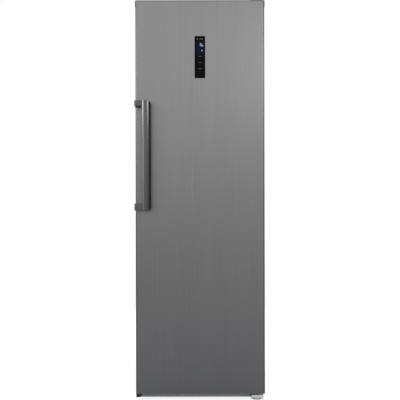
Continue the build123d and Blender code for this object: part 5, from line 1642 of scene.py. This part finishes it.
@dataclass
class Studio:
    """The pale floor, the soft lights and the camera at the photograph's viewing angle."""

    eye: Point = (-0.0007, -3.174, 0.928)
    lens: float = 56.1
    sensor: float = 36.0
    roll: float = 0.115
    floor_radius: float = 2.2
    floor_colour: Colour = (0.31, 0.315, 0.34)
    floor_lift: float = 0.84
    target: Point = (0.0, -0.3, 1.3)
    softboxes: tuple[Softbox, ...] = (
        Softbox("left softbox", (-2.6, -1.5, 1.95), (0.9, 0.5), 6.5),
        Softbox("right softbox", (1.8, -2.5, 2.1), (1.6, 0.7), 3.0),
        Softbox("top softbox", (0.0, -1.2, 3.4), (2.4, 1.2), 1.2),
    )
    # What lights the object from all round, and what shines in its metal from low ahead
    soft: Fade = Fade(Axis.Z, (-0.42, 0.34), (0.34, 1.0))
    ahead: Fade = Fade(Axis.X, (-0.4, 0.4), (0.24, 0.54))
    # What takes over from that: where, and how bright it is there
    mirrored: tuple[tuple[Fade, Fade | float], ...] = (
        # The studio at eye height and above
        (Fade(Axis.Z, (-0.2, 0.3)), 1.0),
        (Fade(Axis.Z, (0.25, 0.4)), 0.72),
        # The walls to the left and to the right
        (Fade(Axis.X, (-0.35, -0.6)), Fade(Axis.Z, (-0.12, 0.08), (0.2, 1.8))),
        (Fade(Axis.X, (0.36, 0.56)), Fade(Axis.Z, (0.04, 0.2), (0.4, 1.15))),
        # The dark flags beside the object, and the white ground behind it
        (Fade(Axis.Y, (-0.4, -0.2)), Fade(Axis.Z, (-0.27, -0.06), (0.1, 0.3))),
        (Fade(Axis.Y, (0.9, 0.97)), 1.0),
    )

    def camera(self) -> None:
        """Places the camera level in front of the door."""
        data = bpy.data.cameras.new("camera")
        data.lens = self.lens
        data.sensor_width = self.sensor
        made = placed("camera", data)
        made.location = self.eye
        made.rotation_euler = (QUARTER_TURN, math.radians(self.roll), 0.0)
        bpy.context.scene.camera = made

    def floor(self) -> None:
        """Lays a pale floor that fades into the white round it and keeps the object's shadow."""
        disc = Shape()
        bmesh.ops.create_circle(disc.mesh, cap_ends=True, radius=self.floor_radius, segments=64)
        made = placed("floor", disc.emptied("floor"))
        material = bpy.data.materials.new("pale floor")
        material.use_nodes = True
        nodes = Nodes(material.node_tree)
        nodes.tree.nodes.clear()
        matt = nodes.add("BsdfDiffuse", Color=self.floor_colour)
        lift = nodes.reckon(Reckoning.PRODUCT, nodes.shown(), self.floor_lift)
        glow = nodes.add("Emission", Strength=lift)
        both = nodes.add("AddShader", matt.outputs[0], glow.outputs[0])
        nodes.add("OutputMaterial", Surface=both.outputs[0])
        made.data.materials.append(material)

    def world(self) -> None:
        """Lights the studio softly, brighter above than below, with white behind the object."""
        world = bpy.data.worlds.new("studio")
        bpy.context.scene.world = world
        world.use_nodes = True
        nodes = Nodes(world.node_tree)
        way = nodes.add("SeparateXYZ", nodes.add("TexCoord").outputs["Generated"]).outputs
        seen = self.ahead.follow(nodes, way)
        for where, bright in self.mirrored:
            if isinstance(bright, Fade):
                bright = bright.follow(nodes, way)
            seen = nodes.mix(Mixed.NUMBERS, where.follow(nodes, way), seen, bright)
        glossy = nodes.add("LightPath").outputs["Is Glossy Ray"]
        strength = nodes.mix(Mixed.NUMBERS, glossy, self.soft.follow(nodes, way), seen)
        strength = nodes.mix(Mixed.NUMBERS, nodes.shown(), strength, 1.0)
        ground = nodes.tree.nodes["Background"].inputs
        nodes.fill(ground["Strength"], strength)
        nodes.fill(ground["Color"], (1.0, 1.0, 1.0))

    def build(self) -> None:
        """Sets up the whole studio."""
        bpy.context.scene.view_settings.view_transform = "Standard"
        self.camera()
        self.floor()
        self.world()
        for softbox in self.softboxes:
            softbox.hang(self.target)


def main() -> None:
    """Builds the studio and every sub-assembly in order, and reports each piece."""
    logging.basicConfig(level=logging.INFO, format="%(name)s: %(message)s")
    Studio().build()
    parts = [
        DoorShell(),
        DisplayPanel(),
        Handle(),
        DoorBins(),
        Cabinet(),
        FoodSpace(),
        Drawers(),
        Condenser(),
        MachineCompartment(),
        Undercarriage(),
        TopHinge(),
    ]
    for part in parts:
        part.dress()
        part.build()
        log.info("%s: %d nodes dressed", type(part).__name__, len(part.finishes))
        for piece in part.made:
            log.info("  %s: %d faces", piece.name, len(piece.data.polygons))


if __name__ == "__main__":
    main()
